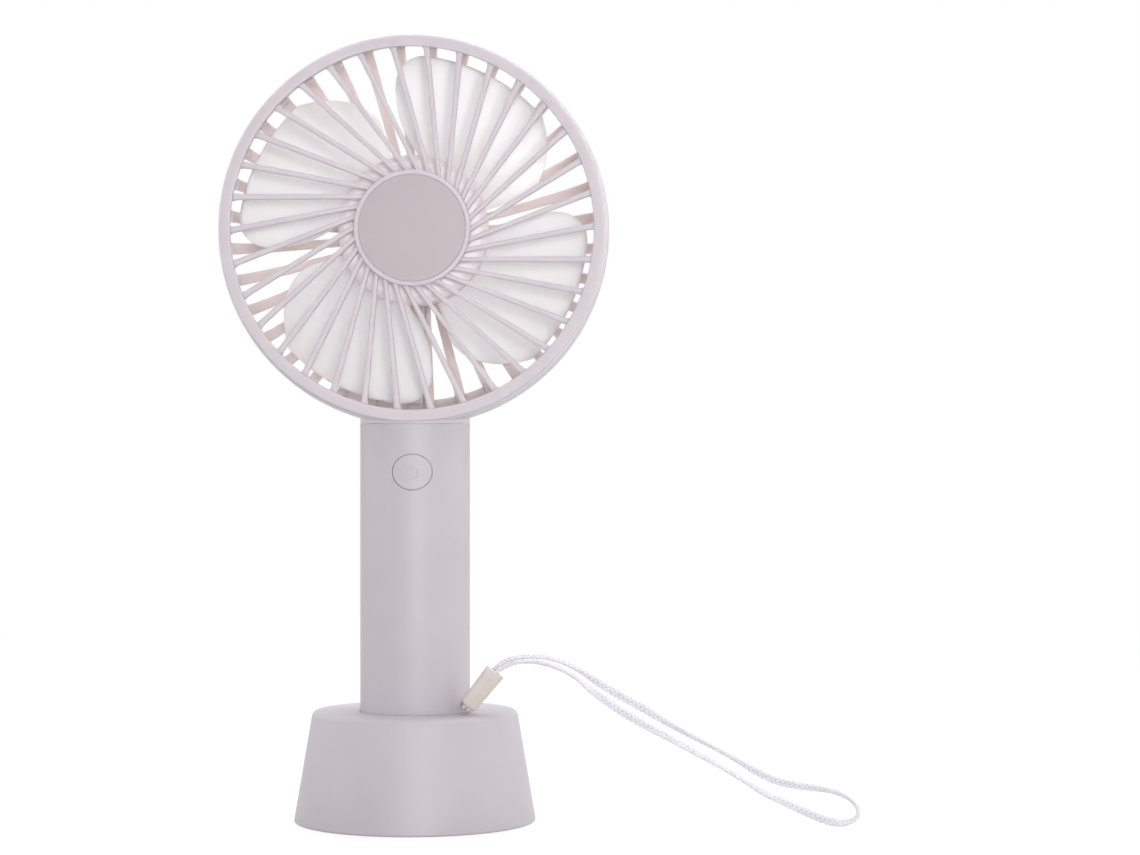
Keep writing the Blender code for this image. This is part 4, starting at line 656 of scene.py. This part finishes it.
# Head shell: the rim, the domed rear bars, the motor's pod, the wire channel and the neck
headSet = {"rimR": 51.75 * mm, "rimFront": -11.7 * mm, "rimRear": 4.0 * mm, "widest": -3.0 * mm,
           "bulge": 0.75 * mm, "rimIn": 50.0 * mm, "rimEdge": 0.12 * mm, "rearLip": 0.3 * mm,
           "frontLip": 0.2 * mm, "rimSteps": 12,
           "domeR": 51.2 * mm, "domeStart": 1.0 * mm, "domeH": 16.0 * mm, "domeCentre": 14.5 * mm,
           "bars": 36, "barOut": 3.1 * mm, "barIn": 2.1 * mm, "barDepth": 2.4 * mm,
           "barRound": 0.5 * mm, "barSteps": 16,
           "podR": 15.2 * mm, "podIn": 12.5 * mm, "podFloor": 15.7 * mm, "podFront": 2.6 * mm,
           "podLip": 0.2 * mm, "podEdge": 0.3 * mm, "podRear": 18.1 * mm, "podRearR": 14.0 * mm,
           "podRound": 1.0 * mm, "flangeR": 17.5 * mm, "flangeEdge": 0.3 * mm, "flangeRound": 0.8 * mm,
           "webIn": 46.0 * mm, "webHalf": 24.5, "webThick": 1.5 * mm, "webSteps": 16, "webRows": 8,
           "channelOut": 11.2 * mm, "channelIn": 6.2 * mm, "channelDepth": 3.7 * mm,
           "channelSkin": 0.2 * mm, "channelEdge": 0.3 * mm, "channelStart": 0.02,
           "channelSink": 0.4 * mm, "channelSteps": 20, "groove": 4.4 * mm, "grooveFloor": 1.2 * mm,
           "plugStart": 0.03, "plugReach": 2.5 * mm, "plugSteps": 8,
           "coverThick": 0.8 * mm, "coverEdge": 0.15 * mm, "coverFoot": 2.8 * mm, "coverTip": 1.2 * mm,
           "gap": 0.3 * mm, "seam": 0.02 * mm, "ringR": 50.55 * mm,
           "spigot": 3.5 * mm, "spigotWall": 1.8 * mm, "spigotEdge": 0.3 * mm, "collarRear": 1.7 * mm,
           "slopeY": 8.0 * mm, "slopeRise": 3.9 * mm, "shelfHalf": 7.5 * mm, "shelfIn": 7.6 * mm,
           "shelfOut": 12.0 * mm, "hollowStart": 0.12, "hollowTurn": 1.08, "hollowSteps": 11,
           "hollowShare": 0.6}
domeSpan = headSet["domeR"] - headSet["domeCentre"]
domeRear = headSet["domeStart"] + headSet["domeH"]


def domePoint(turn, inward):
    normal = Vector((math.cos(turn) / domeSpan, math.sin(turn) / headSet["domeH"])).normalized()
    radius = headSet["domeCentre"] + domeSpan * math.cos(turn) - normal.x * inward
    return radius, headSet["domeStart"] + headSet["domeH"] * math.sin(turn) - normal.y * inward


def domeTurn(radius):
    return math.acos((radius - headSet["domeCentre"]) / domeSpan)


def domeSweep(angle, first, last, steps, section):
    side = headPoint(1, angle + math.pi / 2, 0)
    rings = []
    for k in range(steps + 1):
        share = k / steps
        turn = first + (last - first) * share
        ring = []
        for across, inward in section(share):
            radius, depth = domePoint(turn, inward)
            ring.append(headPoint(radius, angle, depth) + side * across)
        rings.append(ring)
    return lofted(rings)


def barSection(share):
    half = (headSet["barOut"] + (headSet["barIn"] - headSet["barOut"]) * share) / 2
    deep = headSet["barDepth"] / 2
    return [(x, deep + y) for x, y in roundBox(half, deep, headSet["barRound"], steps=3)]


def channelSection(share):
    half = (headSet["channelOut"] + (headSet["channelIn"] - headSet["channelOut"]) * share) / 2
    slot, floor, deep = headSet["groove"] / 2, headSet["grooveFloor"], headSet["channelDepth"]
    skin, edge = headSet["channelSkin"], headSet["channelEdge"]
    right = [(half, skin), (half, deep - edge), (half - edge, deep), (slot, deep), (slot, floor)]
    return right + [(-x, y) for x, y in reversed(right)]


def plugSection(share):
    half = headSet["groove"] / 2 + headSet["seam"]
    return [(half, headSet["channelDepth"]), (half, 0), (-half, 0), (-half, headSet["channelDepth"])]


def coverSection(share):
    half, thick = headSet["groove"] / 2 - headSet["gap"], headSet["coverThick"] / 2
    outline = roundBox(half, thick, headSet["coverEdge"])
    return [(x, headSet["channelDepth"] - thick + y) for x, y in outline]


rim = []
for k in range(headSet["rimSteps"] + 1):
    depth = headSet["rimFront"] + (headSet["rimRear"] - headSet["rimFront"]) * k / headSet["rimSteps"]
    share = (depth - headSet["widest"]) / (headSet["widest"] - headSet["rimFront"])
    ends = headSet["rimEdge"] if k in (0, headSet["rimSteps"]) else 0
    rim.append((headSet["rimR"] - headSet["bulge"] * share**2, depth, ends))
rim += [(headSet["rimIn"], headSet["rimRear"], headSet["rearLip"]),
        (headSet["rimIn"], headSet["rimFront"], headSet["frontLip"])]
rimShell = turned(rim, wideSteps)
# faces inside the rim take the bars' lighter, warmer finish: painted light
for face in rimShell.faces:
    face.material_index = math.hypot(*face.calc_center_median().xy) < headSet["rimIn"] + headSet["gap"] / 2
headParts = [rimShell]
# the bars, pod, wire channel, plug and web all take that painted-light finish (index 1)
for k in range(headSet["bars"]):
    angle = math.tau * (k + 0.5) / headSet["bars"]
    if abs(math.remainder(angle - down, math.tau)) > math.tau / headSet["bars"]:
        headParts.append(painted(domeSweep(angle, 0.0, math.pi / 2, headSet["barSteps"], barSection), 1))
flangeFront = domeRear - headSet["barDepth"]
pod = turned([
    (0, headSet["podFloor"]), (headSet["podIn"], headSet["podFloor"]),
    (headSet["podIn"], headSet["podFront"], headSet["podLip"]),
    (headSet["podR"], headSet["podFront"], headSet["podEdge"]), (headSet["podR"], flangeFront),
    (headSet["flangeR"], flangeFront, headSet["flangeEdge"]),
    (headSet["flangeR"], domeRear + headSet["gap"], headSet["flangeRound"]),
    (headSet["podRearR"], headSet["podRear"], headSet["podRound"]), (0, headSet["podRear"])], smallSteps)
headParts.append(painted(pod, 1))
channelEnds = [headSet["channelStart"], domeTurn(headSet["podR"] - headSet["channelSink"])]
headParts.append(painted(domeSweep(down, *channelEnds, headSet["channelSteps"], channelSection), 1))
# a plug ends the groove short of the front
plugEnds = [headSet["plugStart"], domeTurn(headSet["webIn"] + headSet["plugReach"])]
headParts.append(painted(domeSweep(down, *plugEnds, headSet["plugSteps"], plugSection), 1))
webTurn, rows = domeTurn(headSet["webIn"]), headSet["webRows"]
webDeep = headSet["gap"] + headSet["webThick"]
webSection = [domePoint(webTurn * k / rows, headSet["gap"]) for k in range(rows + 1)]
webSection += [domePoint(webTurn * k / rows, webDeep) for k in range(rows, -1, -1)]
webRings = []
for k in range(2 * headSet["webSteps"] + 1):
    angle = down + math.radians(headSet["webHalf"]) * (k / headSet["webSteps"] - 1)
    webRings.append([headPoint(radius, angle, depth) for radius, depth in webSection])
headParts.append(painted(lofted(webRings), 1))

# the neck's collar stands on the handle, with a spigot inside it
collarZ = tubeHigh.z + headSet["gap"]
spigotR, collarTop = tubeIn - headSet["gap"], collarZ + handleR
spigotIn, spigotLow = spigotR - headSet["spigotWall"], collarZ - headSet["spigot"]
collar = turned([
    (spigotIn, spigotLow), (spigotR, spigotLow, headSet["spigotEdge"]), (spigotR, collarZ),
    (handleR, collarZ, handleSet["edge"]), (handleR, collarTop), (spigotIn, collarTop)], wideSteps)
# a shelf closes it behind the web
shelfLow, shelfHigh = collarZ + headSet["gap"], collarTop - headSet["gap"]
shelf = [(headSet["shelfIn"], shelfLow), (headSet["shelfOut"], shelfLow), (headSet["shelfOut"], shelfHigh),
         (headSet["shelfIn"], shelfHigh)]
collar = combined(collar, alongX(shelf, (-headSet["shelfHalf"], headSet["shelfHalf"])), "UNION")
# its top slopes down to the rear, and the head's inside is cut out of it
slopeLow, beyond = collarZ + headSet["collarRear"], 2 * handleR
slope = [(handleR + headSet["gap"], slopeLow), (headSet["slopeY"], slopeLow + headSet["slopeRise"]),
         (headSet["slopeY"], collarTop + handleR), (beyond, collarTop + handleR), (beyond, slopeLow)]
collar = combined(collar, alongX(slope, (-beyond, beyond)), "DIFFERENCE")
clear, wall = headSet["ringR"] + headSet["seam"], headSet["rimIn"] + headSet["gap"]
step = headSet["rimFront"] + headSet["gap"] / 2
hollowRings = [(0, -beyond), (clear, -beyond), (clear, step), (wall, step)]
for k in range(headSet["hollowSteps"] + 1):
    turn = headSet["hollowStart"] + headSet["hollowTurn"] * k / headSet["hollowSteps"]
    hollowRings.append(domePoint(turn, headSet["webThick"] * headSet["hollowShare"]))
hollowRings.append((0, domeRear - headSet["webThick"]))
collar = combined(moved(collar, headTurn.inverted()), turned(hollowRings, wideSteps), "DIFFERENCE")
headParts.append(collar)
# outside, the rim's lighter finish; inside, the bars' lighter, warmer one: both painted light
makePiece("headShell", moved(gathered(headParts), headTurn), ["rim", "bars"], "fan",
          ["head_shell"])
# the wire cover takes the bars' painted-light finish too
coverEnds = [domeTurn(headSet["webIn"] + headSet["coverFoot"]),
             domeTurn(headSet["flangeR"] + headSet["coverTip"])]
cover = moved(domeSweep(down, *coverEnds, headSet["channelSteps"], coverSection), headTurn)
makePiece("wireCover", cover, ["bars"], "fan", ["wire_cover"])
print("head made")

# Front grille: a rounded ring, swirled bars that flare into it, and the centre disc
grilleSet = {"ringR": headSet["ringR"], "ringIn": 47.5 * mm, "front": -15.9 * mm, "back": -11.8 * mm,
             "outerRound": 0.5 * mm, "innerRound": 0.35 * mm, "backEdge": 0.1 * mm, "lip": 1.3 * mm,
             "lipEdge": 0.2 * mm, "skirtR": 49.7 * mm, "skirtT": 1.0 * mm, "skirtLen": 2.8 * mm,
             "skirtEdge": 0.2 * mm, "bevel": 0.5 * mm, "ringSteps": 204,
             "bars": 34, "offset": 8.2 * mm, "phase": 5.33, "barW": 1.2 * mm, "barFront": -15.4 * mm,
             "barDepth": 2.2 * mm, "barEdge": 0.2 * mm, "barSink": 1.2 * mm, "crown": 0.35 * mm,
             "crownSteps": 10, "rootFlares": ((0, 1.5), (0.9 * mm, 1.15), (1.8 * mm, 1.0)),
             "tipFlares": ((3.4 * mm, 1.27), (2.3 * mm, 1.33), (1.7 * mm, 1.45), (1.2 * mm, 1.8), (0, 1.8)),
             "discR": 15.25 * mm, "discRim": 1.25 * mm, "discFront": -16.2 * mm, "discDepth": 3.2 * mm,
             "discRound": 0.45 * mm, "discEdge": 0.3 * mm, "discSteps": 144, "seat": 1.3 * mm,
             "seatEdge": 0.15 * mm, "notchTurn": -39, "notchLen": 4.8 * mm, "notchDepth": 0.35 * mm,
             "notchWide": 4 * mm, "notchOver": 0.4 * mm}
ringFront, ringBack = grilleSet["front"], grilleSet["back"]
skirtIn, skirtEnd = grilleSet["skirtR"] - grilleSet["skirtT"], ringBack + grilleSet["skirtLen"]
ring = turned([
    (grilleSet["ringR"], ringBack, grilleSet["backEdge"]),
    (grilleSet["ringR"], ringFront, grilleSet["outerRound"]),
    (grilleSet["ringIn"], ringFront, grilleSet["innerRound"]),
    (grilleSet["ringIn"], ringFront + grilleSet["lip"], grilleSet["lipEdge"]),
    (skirtIn, ringBack + grilleSet["bevel"]), (skirtIn, skirtEnd, grilleSet["skirtEdge"]),
    (grilleSet["skirtR"], skirtEnd, grilleSet["skirtEdge"]), (grilleSet["skirtR"], ringBack)],
    grilleSet["ringSteps"])
notchR = grilleSet["ringR"] - grilleSet["notchDepth"] + grilleSet["notchWide"] / 2
notchMid = (ringBack + ringFront) / 2 + grilleSet["notchOver"]
notchHigh = ringBack - ringFront + grilleSet["notchOver"]
notch = bmesh.new()
bmesh.ops.create_cube(notch, size=1)
bmesh.ops.scale(notch, verts=notch.verts, vec=(grilleSet["notchWide"], grilleSet["notchLen"], notchHigh))
bmesh.ops.translate(notch, verts=notch.verts, vec=(notchR, 0, notchMid))
notchSpin = Matrix.Rotation(-math.radians(grilleSet["notchTurn"]), 4, "Z")
ring = combined(ring, moved(notch, notchSpin), "DIFFERENCE")
half, edge = grilleSet["barW"] / 2, grilleSet["barEdge"]
shoulder = grilleSet["barFront"] + grilleSet["crown"]
barBack = grilleSet["barFront"] + grilleSet["barDepth"]
crown = arcPoints(half, 0, math.pi, grilleSet["crownSteps"])
barOutline = [(x, shoulder - y * grilleSet["crown"] / half) for x, y in crown]
barOutline += [(-half, barBack - edge), (-half + edge, barBack), (half - edge, barBack),
               (half, barBack - edge)]
near = math.sqrt((grilleSet["discR"] - grilleSet["discRim"] / 2) ** 2 - grilleSet["offset"] ** 2)
far = math.sqrt((grilleSet["ringIn"] + grilleSet["barSink"]) ** 2 - grilleSet["offset"] ** 2)
barStops = [(near + reach, flare) for reach, flare in grilleSet["rootFlares"]]
barStops += [(far - reach, flare) for reach, flare in grilleSet["tipFlares"]]
barRings = [[(grilleSet["offset"] + x * flare, -travel, depth) for x, depth in barOutline]
            for travel, flare in barStops]
grilleParts = [ring]
for k in range(grilleSet["bars"]):
    turn = math.radians(grilleSet["phase"]) + math.tau * k / grilleSet["bars"]
    grilleParts.append(moved(lofted(barRings), Matrix.Rotation(-turn, 4, "Z")))
seatR, seatD = grilleSet["discR"] - grilleSet["discRim"], grilleSet["discFront"] + grilleSet["seat"]
discBack = grilleSet["discFront"] + grilleSet["discDepth"]
grilleParts.append(turned([
    (0, seatD), (seatR, seatD), (seatR, grilleSet["discFront"], grilleSet["seatEdge"]),
    (grilleSet["discR"], grilleSet["discFront"], grilleSet["discRound"]),
    (grilleSet["discR"], discBack, grilleSet["discEdge"]), (0, discBack)], grilleSet["discSteps"]))
# the grille's lighter finish is painted light
makePiece("frontGrille", moved(gathered(grilleParts), headTurn), ["grille"], "fan",
          ["front_grille"])

# Badge: a plain plate seated in the disc
badgeSet = {"gap": 0.03 * mm, "lift": 0.3 * mm, "thick": 0.93 * mm, "edge": 0.1 * mm}
badgeR, badgeBack = seatR - badgeSet["gap"], seatD - badgeSet["lift"]
badgeFront = badgeBack - badgeSet["thick"]
badge = turned([(0, badgeFront), (badgeR, badgeFront, badgeSet["edge"]), (badgeR, badgeBack),
                (0, badgeBack)], grilleSet["discSteps"])
# the badge's greyer finish is painted shade
makePiece("badge", moved(badge, headTurn), ["badge"], "fan", ["grille_badge"])
print("grille made")

# Impeller: a cupped hub and four broad swept blades
fanSet = {"hubR": 19.8 * mm, "frontR": 18.0 * mm, "front": -10.5 * mm, "rear": 2.0 * mm, "wall": 1.4 * mm,
          "bossR": 4.2 * mm, "bossTip": 0.5 * mm, "bore": 1.3 * mm, "gap": 0.3 * mm, "edge": 0.6 * mm,
          "rearEdge": 0.3 * mm, "hubSteps": 128, "blades": 4, "tipR": 46.0 * mm, "thick": 1.3 * mm,
          "rootDepth": 8.8 * mm, "tipDepth": 9.6 * mm, "mid": -3.2 * mm, "camber": 1.2 * mm,
          "trail": 17.6, "trailSweep": 25.0, "trailR": 29.0 * mm, "trailPower": 1.8,
          "lead": 97.5, "leadSweep": 11.5, "leadR": 33.0 * mm, "leadPower": 2.5, "cornerR": 10.0 * mm,
          "crowding": 1.7, "spanSteps": 28, "chordSteps": 30}
hubIn, hubFloor = fanSet["hubR"] - fanSet["wall"], fanSet["front"] + fanSet["wall"]
hubShoulder, boreEnd = fanSet["front"] + fanSet["hubR"] - fanSet["frontR"], hubFloor + fanSet["gap"]
hub = turned([
    (0, fanSet["front"]), (fanSet["frontR"], fanSet["front"], fanSet["edge"]),
    (fanSet["hubR"], hubShoulder, fanSet["edge"]), (fanSet["hubR"], fanSet["rear"], fanSet["rearEdge"]),
    (hubIn, fanSet["rear"]), (hubIn, hubFloor), (fanSet["bossR"], hubFloor),
    (fanSet["bossR"], fanSet["bossTip"]), (fanSet["bore"], fanSet["bossTip"]),
    (fanSet["bore"], boreEnd), (0, boreEnd)], fanSet["hubSteps"])


def bladeEdges(radius):
    trail, lead = fanSet["trail"], fanSet["lead"]
    if radius > fanSet["trailR"]:
        reach = (radius - fanSet["trailR"]) / (fanSet["tipR"] - fanSet["trailR"])
        trail += fanSet["trailSweep"] * reach ** fanSet["trailPower"]
    if radius < fanSet["leadR"]:
        reach = (fanSet["leadR"] - radius) / (fanSet["leadR"] - fanSet["hubR"])
        lead -= fanSet["leadSweep"] * reach ** fanSet["leadPower"]
    corner = min((radius - fanSet["tipR"]) / fanSet["cornerR"] + 1, 1)
    if corner > 0:
        lead -= fanSet["leadSweep"] * (1 - math.sqrt(1 - corner**2))
    return math.radians(trail), math.radians(lead)


def bladePoint(span, chord):
    root = fanSet["hubR"] - fanSet["wall"] / 2
    radius = root + (fanSet["tipR"] - root) * (1 - (1 - span) ** fanSet["crowding"])
    low, high = bladeEdges(max(radius, fanSet["hubR"]))
    depth = fanSet["rootDepth"] + (fanSet["tipDepth"] - fanSet["rootDepth"]) * span
    sag = fanSet["camber"] * math.sin(math.pi * chord)
    return headPoint(radius, low + (high - low) * chord, fanSet["mid"] + depth * (0.5 - chord) + sag)


def makeBlade(index):
    bm = bmesh.new()
    bmesh.ops.create_grid(bm, x_segments=fanSet["spanSteps"], y_segments=fanSet["chordSteps"], size=1)
    for vert in bm.verts:
        vert.co = bladePoint((vert.co.x + 1) / 2, (vert.co.y + 1) / 2)
    grown = bmesh.ops.extrude_face_region(bm, geom=bm.faces[:])["geom"]
    lifted = [item for item in grown if isinstance(item, bmesh.types.BMVert)]
    bmesh.ops.translate(bm, verts=lifted, vec=(0, 0, fanSet["thick"]))
    bmesh.ops.recalc_face_normals(bm, faces=bm.faces)
    return moved(bm, Matrix.Rotation(-math.tau * index / fanSet["blades"], 4, "Z"))


blades = gathered([makeBlade(k) for k in range(fanSet["blades"])])
impeller = combined(hub, blades, "UNION")
for face in impeller.faces:
    face.material_index = math.hypot(*face.calc_center_median().xy) < fanSet["hubR"]
makePiece("impeller", moved(impeller, headTurn), ["blade", "hub"], "impeller", ["impeller"],
          sharp=40)
print("impeller made")

# Inner pieces keep the frame's own shapes
innerLooks = {
    "steel": ["board_screw_lower", "board_screw_upper", "motor_can", "motor_shaft", "retainer_screw_left",
              "retainer_screw_right", "switch_body"],
    "shell": ["inner_frame", "motor_retainer"],
    "wrap": ["battery_cell"],
    "board": ["charge_board", "control_board"],
    "strip": ["battery_tab_bottom", "battery_tab_top"],
    "epoxy": ["drive_chip", "motor_end_bell", "switch_plunger"],
    "ferrite": ["magnet_lower", "magnet_upper"],
    "bronze": ["motor_bush_front", "motor_bush_rear"],
    "plates": ["armature"],
    "copper": ["commutator"],
    "redLead": ["battery_lead_red", "motor_lead_red"],
    "blackLead": ["battery_lead_black", "motor_lead_black"],
}
for look, names in innerLooks.items():
    for name in names:
        frame["nodes"][name].data.materials.clear()
        frame["nodes"][name].data.materials.append(finishes[look])

# White floor and surround, one lamp above, one in front beside the camera and one behind on each side
pureWhite = (1, 1, 1, 1)
stageSet = {"floorR": 6.0, "drop": 0.05 * mm, "floorGlow": 0.62, "floorCatch": 0.4, "floorTone": "#B4B4B4",
            "catchR": 0.7, "surround": (0.45, 1.5), "surroundSpan": (-0.6, 0.8),
            "aim": Vector((0.0, 0, 0.157))}
lightSet = {"topLight": {"power": 4.4, "size": 0.9, "place": (0.1, 0.25, 1.15), "spread": 180},
            "frontLight": {"power": 1.1, "size": 0.5, "place": (0.2, -1.25, 0.17), "spread": 60},
            "leftLight": {"power": 1.2, "size": 0.5, "place": (-0.85, 0.25, 0.4), "spread": 180},
            "rightLight": {"power": 1.9, "size": 0.5, "place": (0.95, 0.2, 0.4), "spread": 180}}


def seenDirectly(tree):
    rays = addNode(tree, "LightPath").outputs
    seen = rays["Is Camera Ray"]
    for kind in ("Is Glossy Ray", "Is Transmission Ray"):
        seen = addNode(tree, "Math", {"operation": "MAXIMUM"}, {0: seen, 1: rays[kind]}).outputs[0]
    return seen


world = bpy.data.worlds.new("surround")
world.use_nodes = True
scene.world = world
tree = world.node_tree
tree.nodes.clear()
# the lit backdrop behind is brighter than the room in front
way = addNode(tree, "SeparateXYZ", None, {0: addNode(tree, "TexCoord").outputs["Generated"]})
(spanLow, spanHigh), (front, behind) = stageSet["surroundSpan"], stageSet["surround"]
level = addNode(tree, "MapRange", {"From Min": spanLow, "From Max": spanHigh, "To Min": front,
                                   "To Max": behind}, {"Value": way.outputs["Y"]})
dim = addNode(tree, "Background", {"Color": pureWhite}, {"Strength": level.outputs[0]})
white = addNode(tree, "Background", {"Color": pureWhite, "Strength": 1})
blend = addNode(tree, "MixShader", None, {0: seenDirectly(tree), 1: dim.outputs[0], 2: white.outputs[0]})
addNode(tree, "OutputWorld", None, {"Surface": blend.outputs[0]})

floorFinish = bpy.data.materials.new("floor")
floorFinish.use_nodes = True
tree = floorFinish.node_tree
tree.nodes.clear()
paper = addNode(tree, "BsdfDiffuse", {"Color": linear(stageSet["floorTone"])})
glow = addNode(tree, "Emission", {"Color": pureWhite, "Strength": stageSet["floorGlow"]})
catch = addNode(tree, "BsdfDiffuse", {"Color": [stageSet["floorCatch"]] * 3 + [1]})
lit = addNode(tree, "AddShader", None, {0: glow.outputs[0], 1: catch.outputs[0]})
place = addNode(tree, "TexCoord").outputs["Object"]
spread = addNode(tree, "Mapping", {"Scale": [1 / stageSet["catchR"]] * 3}, {"Vector": place})
fade = addNode(tree, "TexGradient", {"gradient_type": "SPHERICAL"}, {"Vector": spread.outputs[0]})
plain = addNode(tree, "Emission", {"Color": pureWhite, "Strength": 1})
shown = addNode(tree, "MixShader", None, {0: fade.outputs["Fac"], 1: plain.outputs[0], 2: lit.outputs[0]})
blend = addNode(tree, "MixShader", None, {0: seenDirectly(tree), 1: paper.outputs[0], 2: shown.outputs[0]})
addNode(tree, "OutputMaterial", None, {"Surface": blend.outputs[0]})
bm = bmesh.new()
bmesh.ops.create_grid(bm, x_segments=1, y_segments=1, size=stageSet["floorR"])
bmesh.ops.translate(bm, verts=bm.verts, vec=(0, 0, -stageSet["drop"]))
mesh = bpy.data.meshes.new("floor")
bm.to_mesh(mesh)
bm.free()
mesh.materials.append(floorFinish)
floor = bpy.data.objects.new("floor", mesh)
scene.collection.objects.link(floor)


def addLight(name, power, size, place, spread):
    lamp = bpy.data.lights.new(name, "AREA")
    lamp.shape = "DISK"
    lamp.size = size
    lamp.energy = power
    lamp.spread = math.radians(spread)
    light = bpy.data.objects.new(name, lamp)
    light.location = place
    light.rotation_euler = (stageSet["aim"] - Vector(place)).to_track_quat("-Z", "Y").to_euler()
    scene.collection.objects.link(light)


for name, light in lightSet.items():
    addLight(name, **light)
scene.view_settings.view_transform = "Standard"
print("stage set")
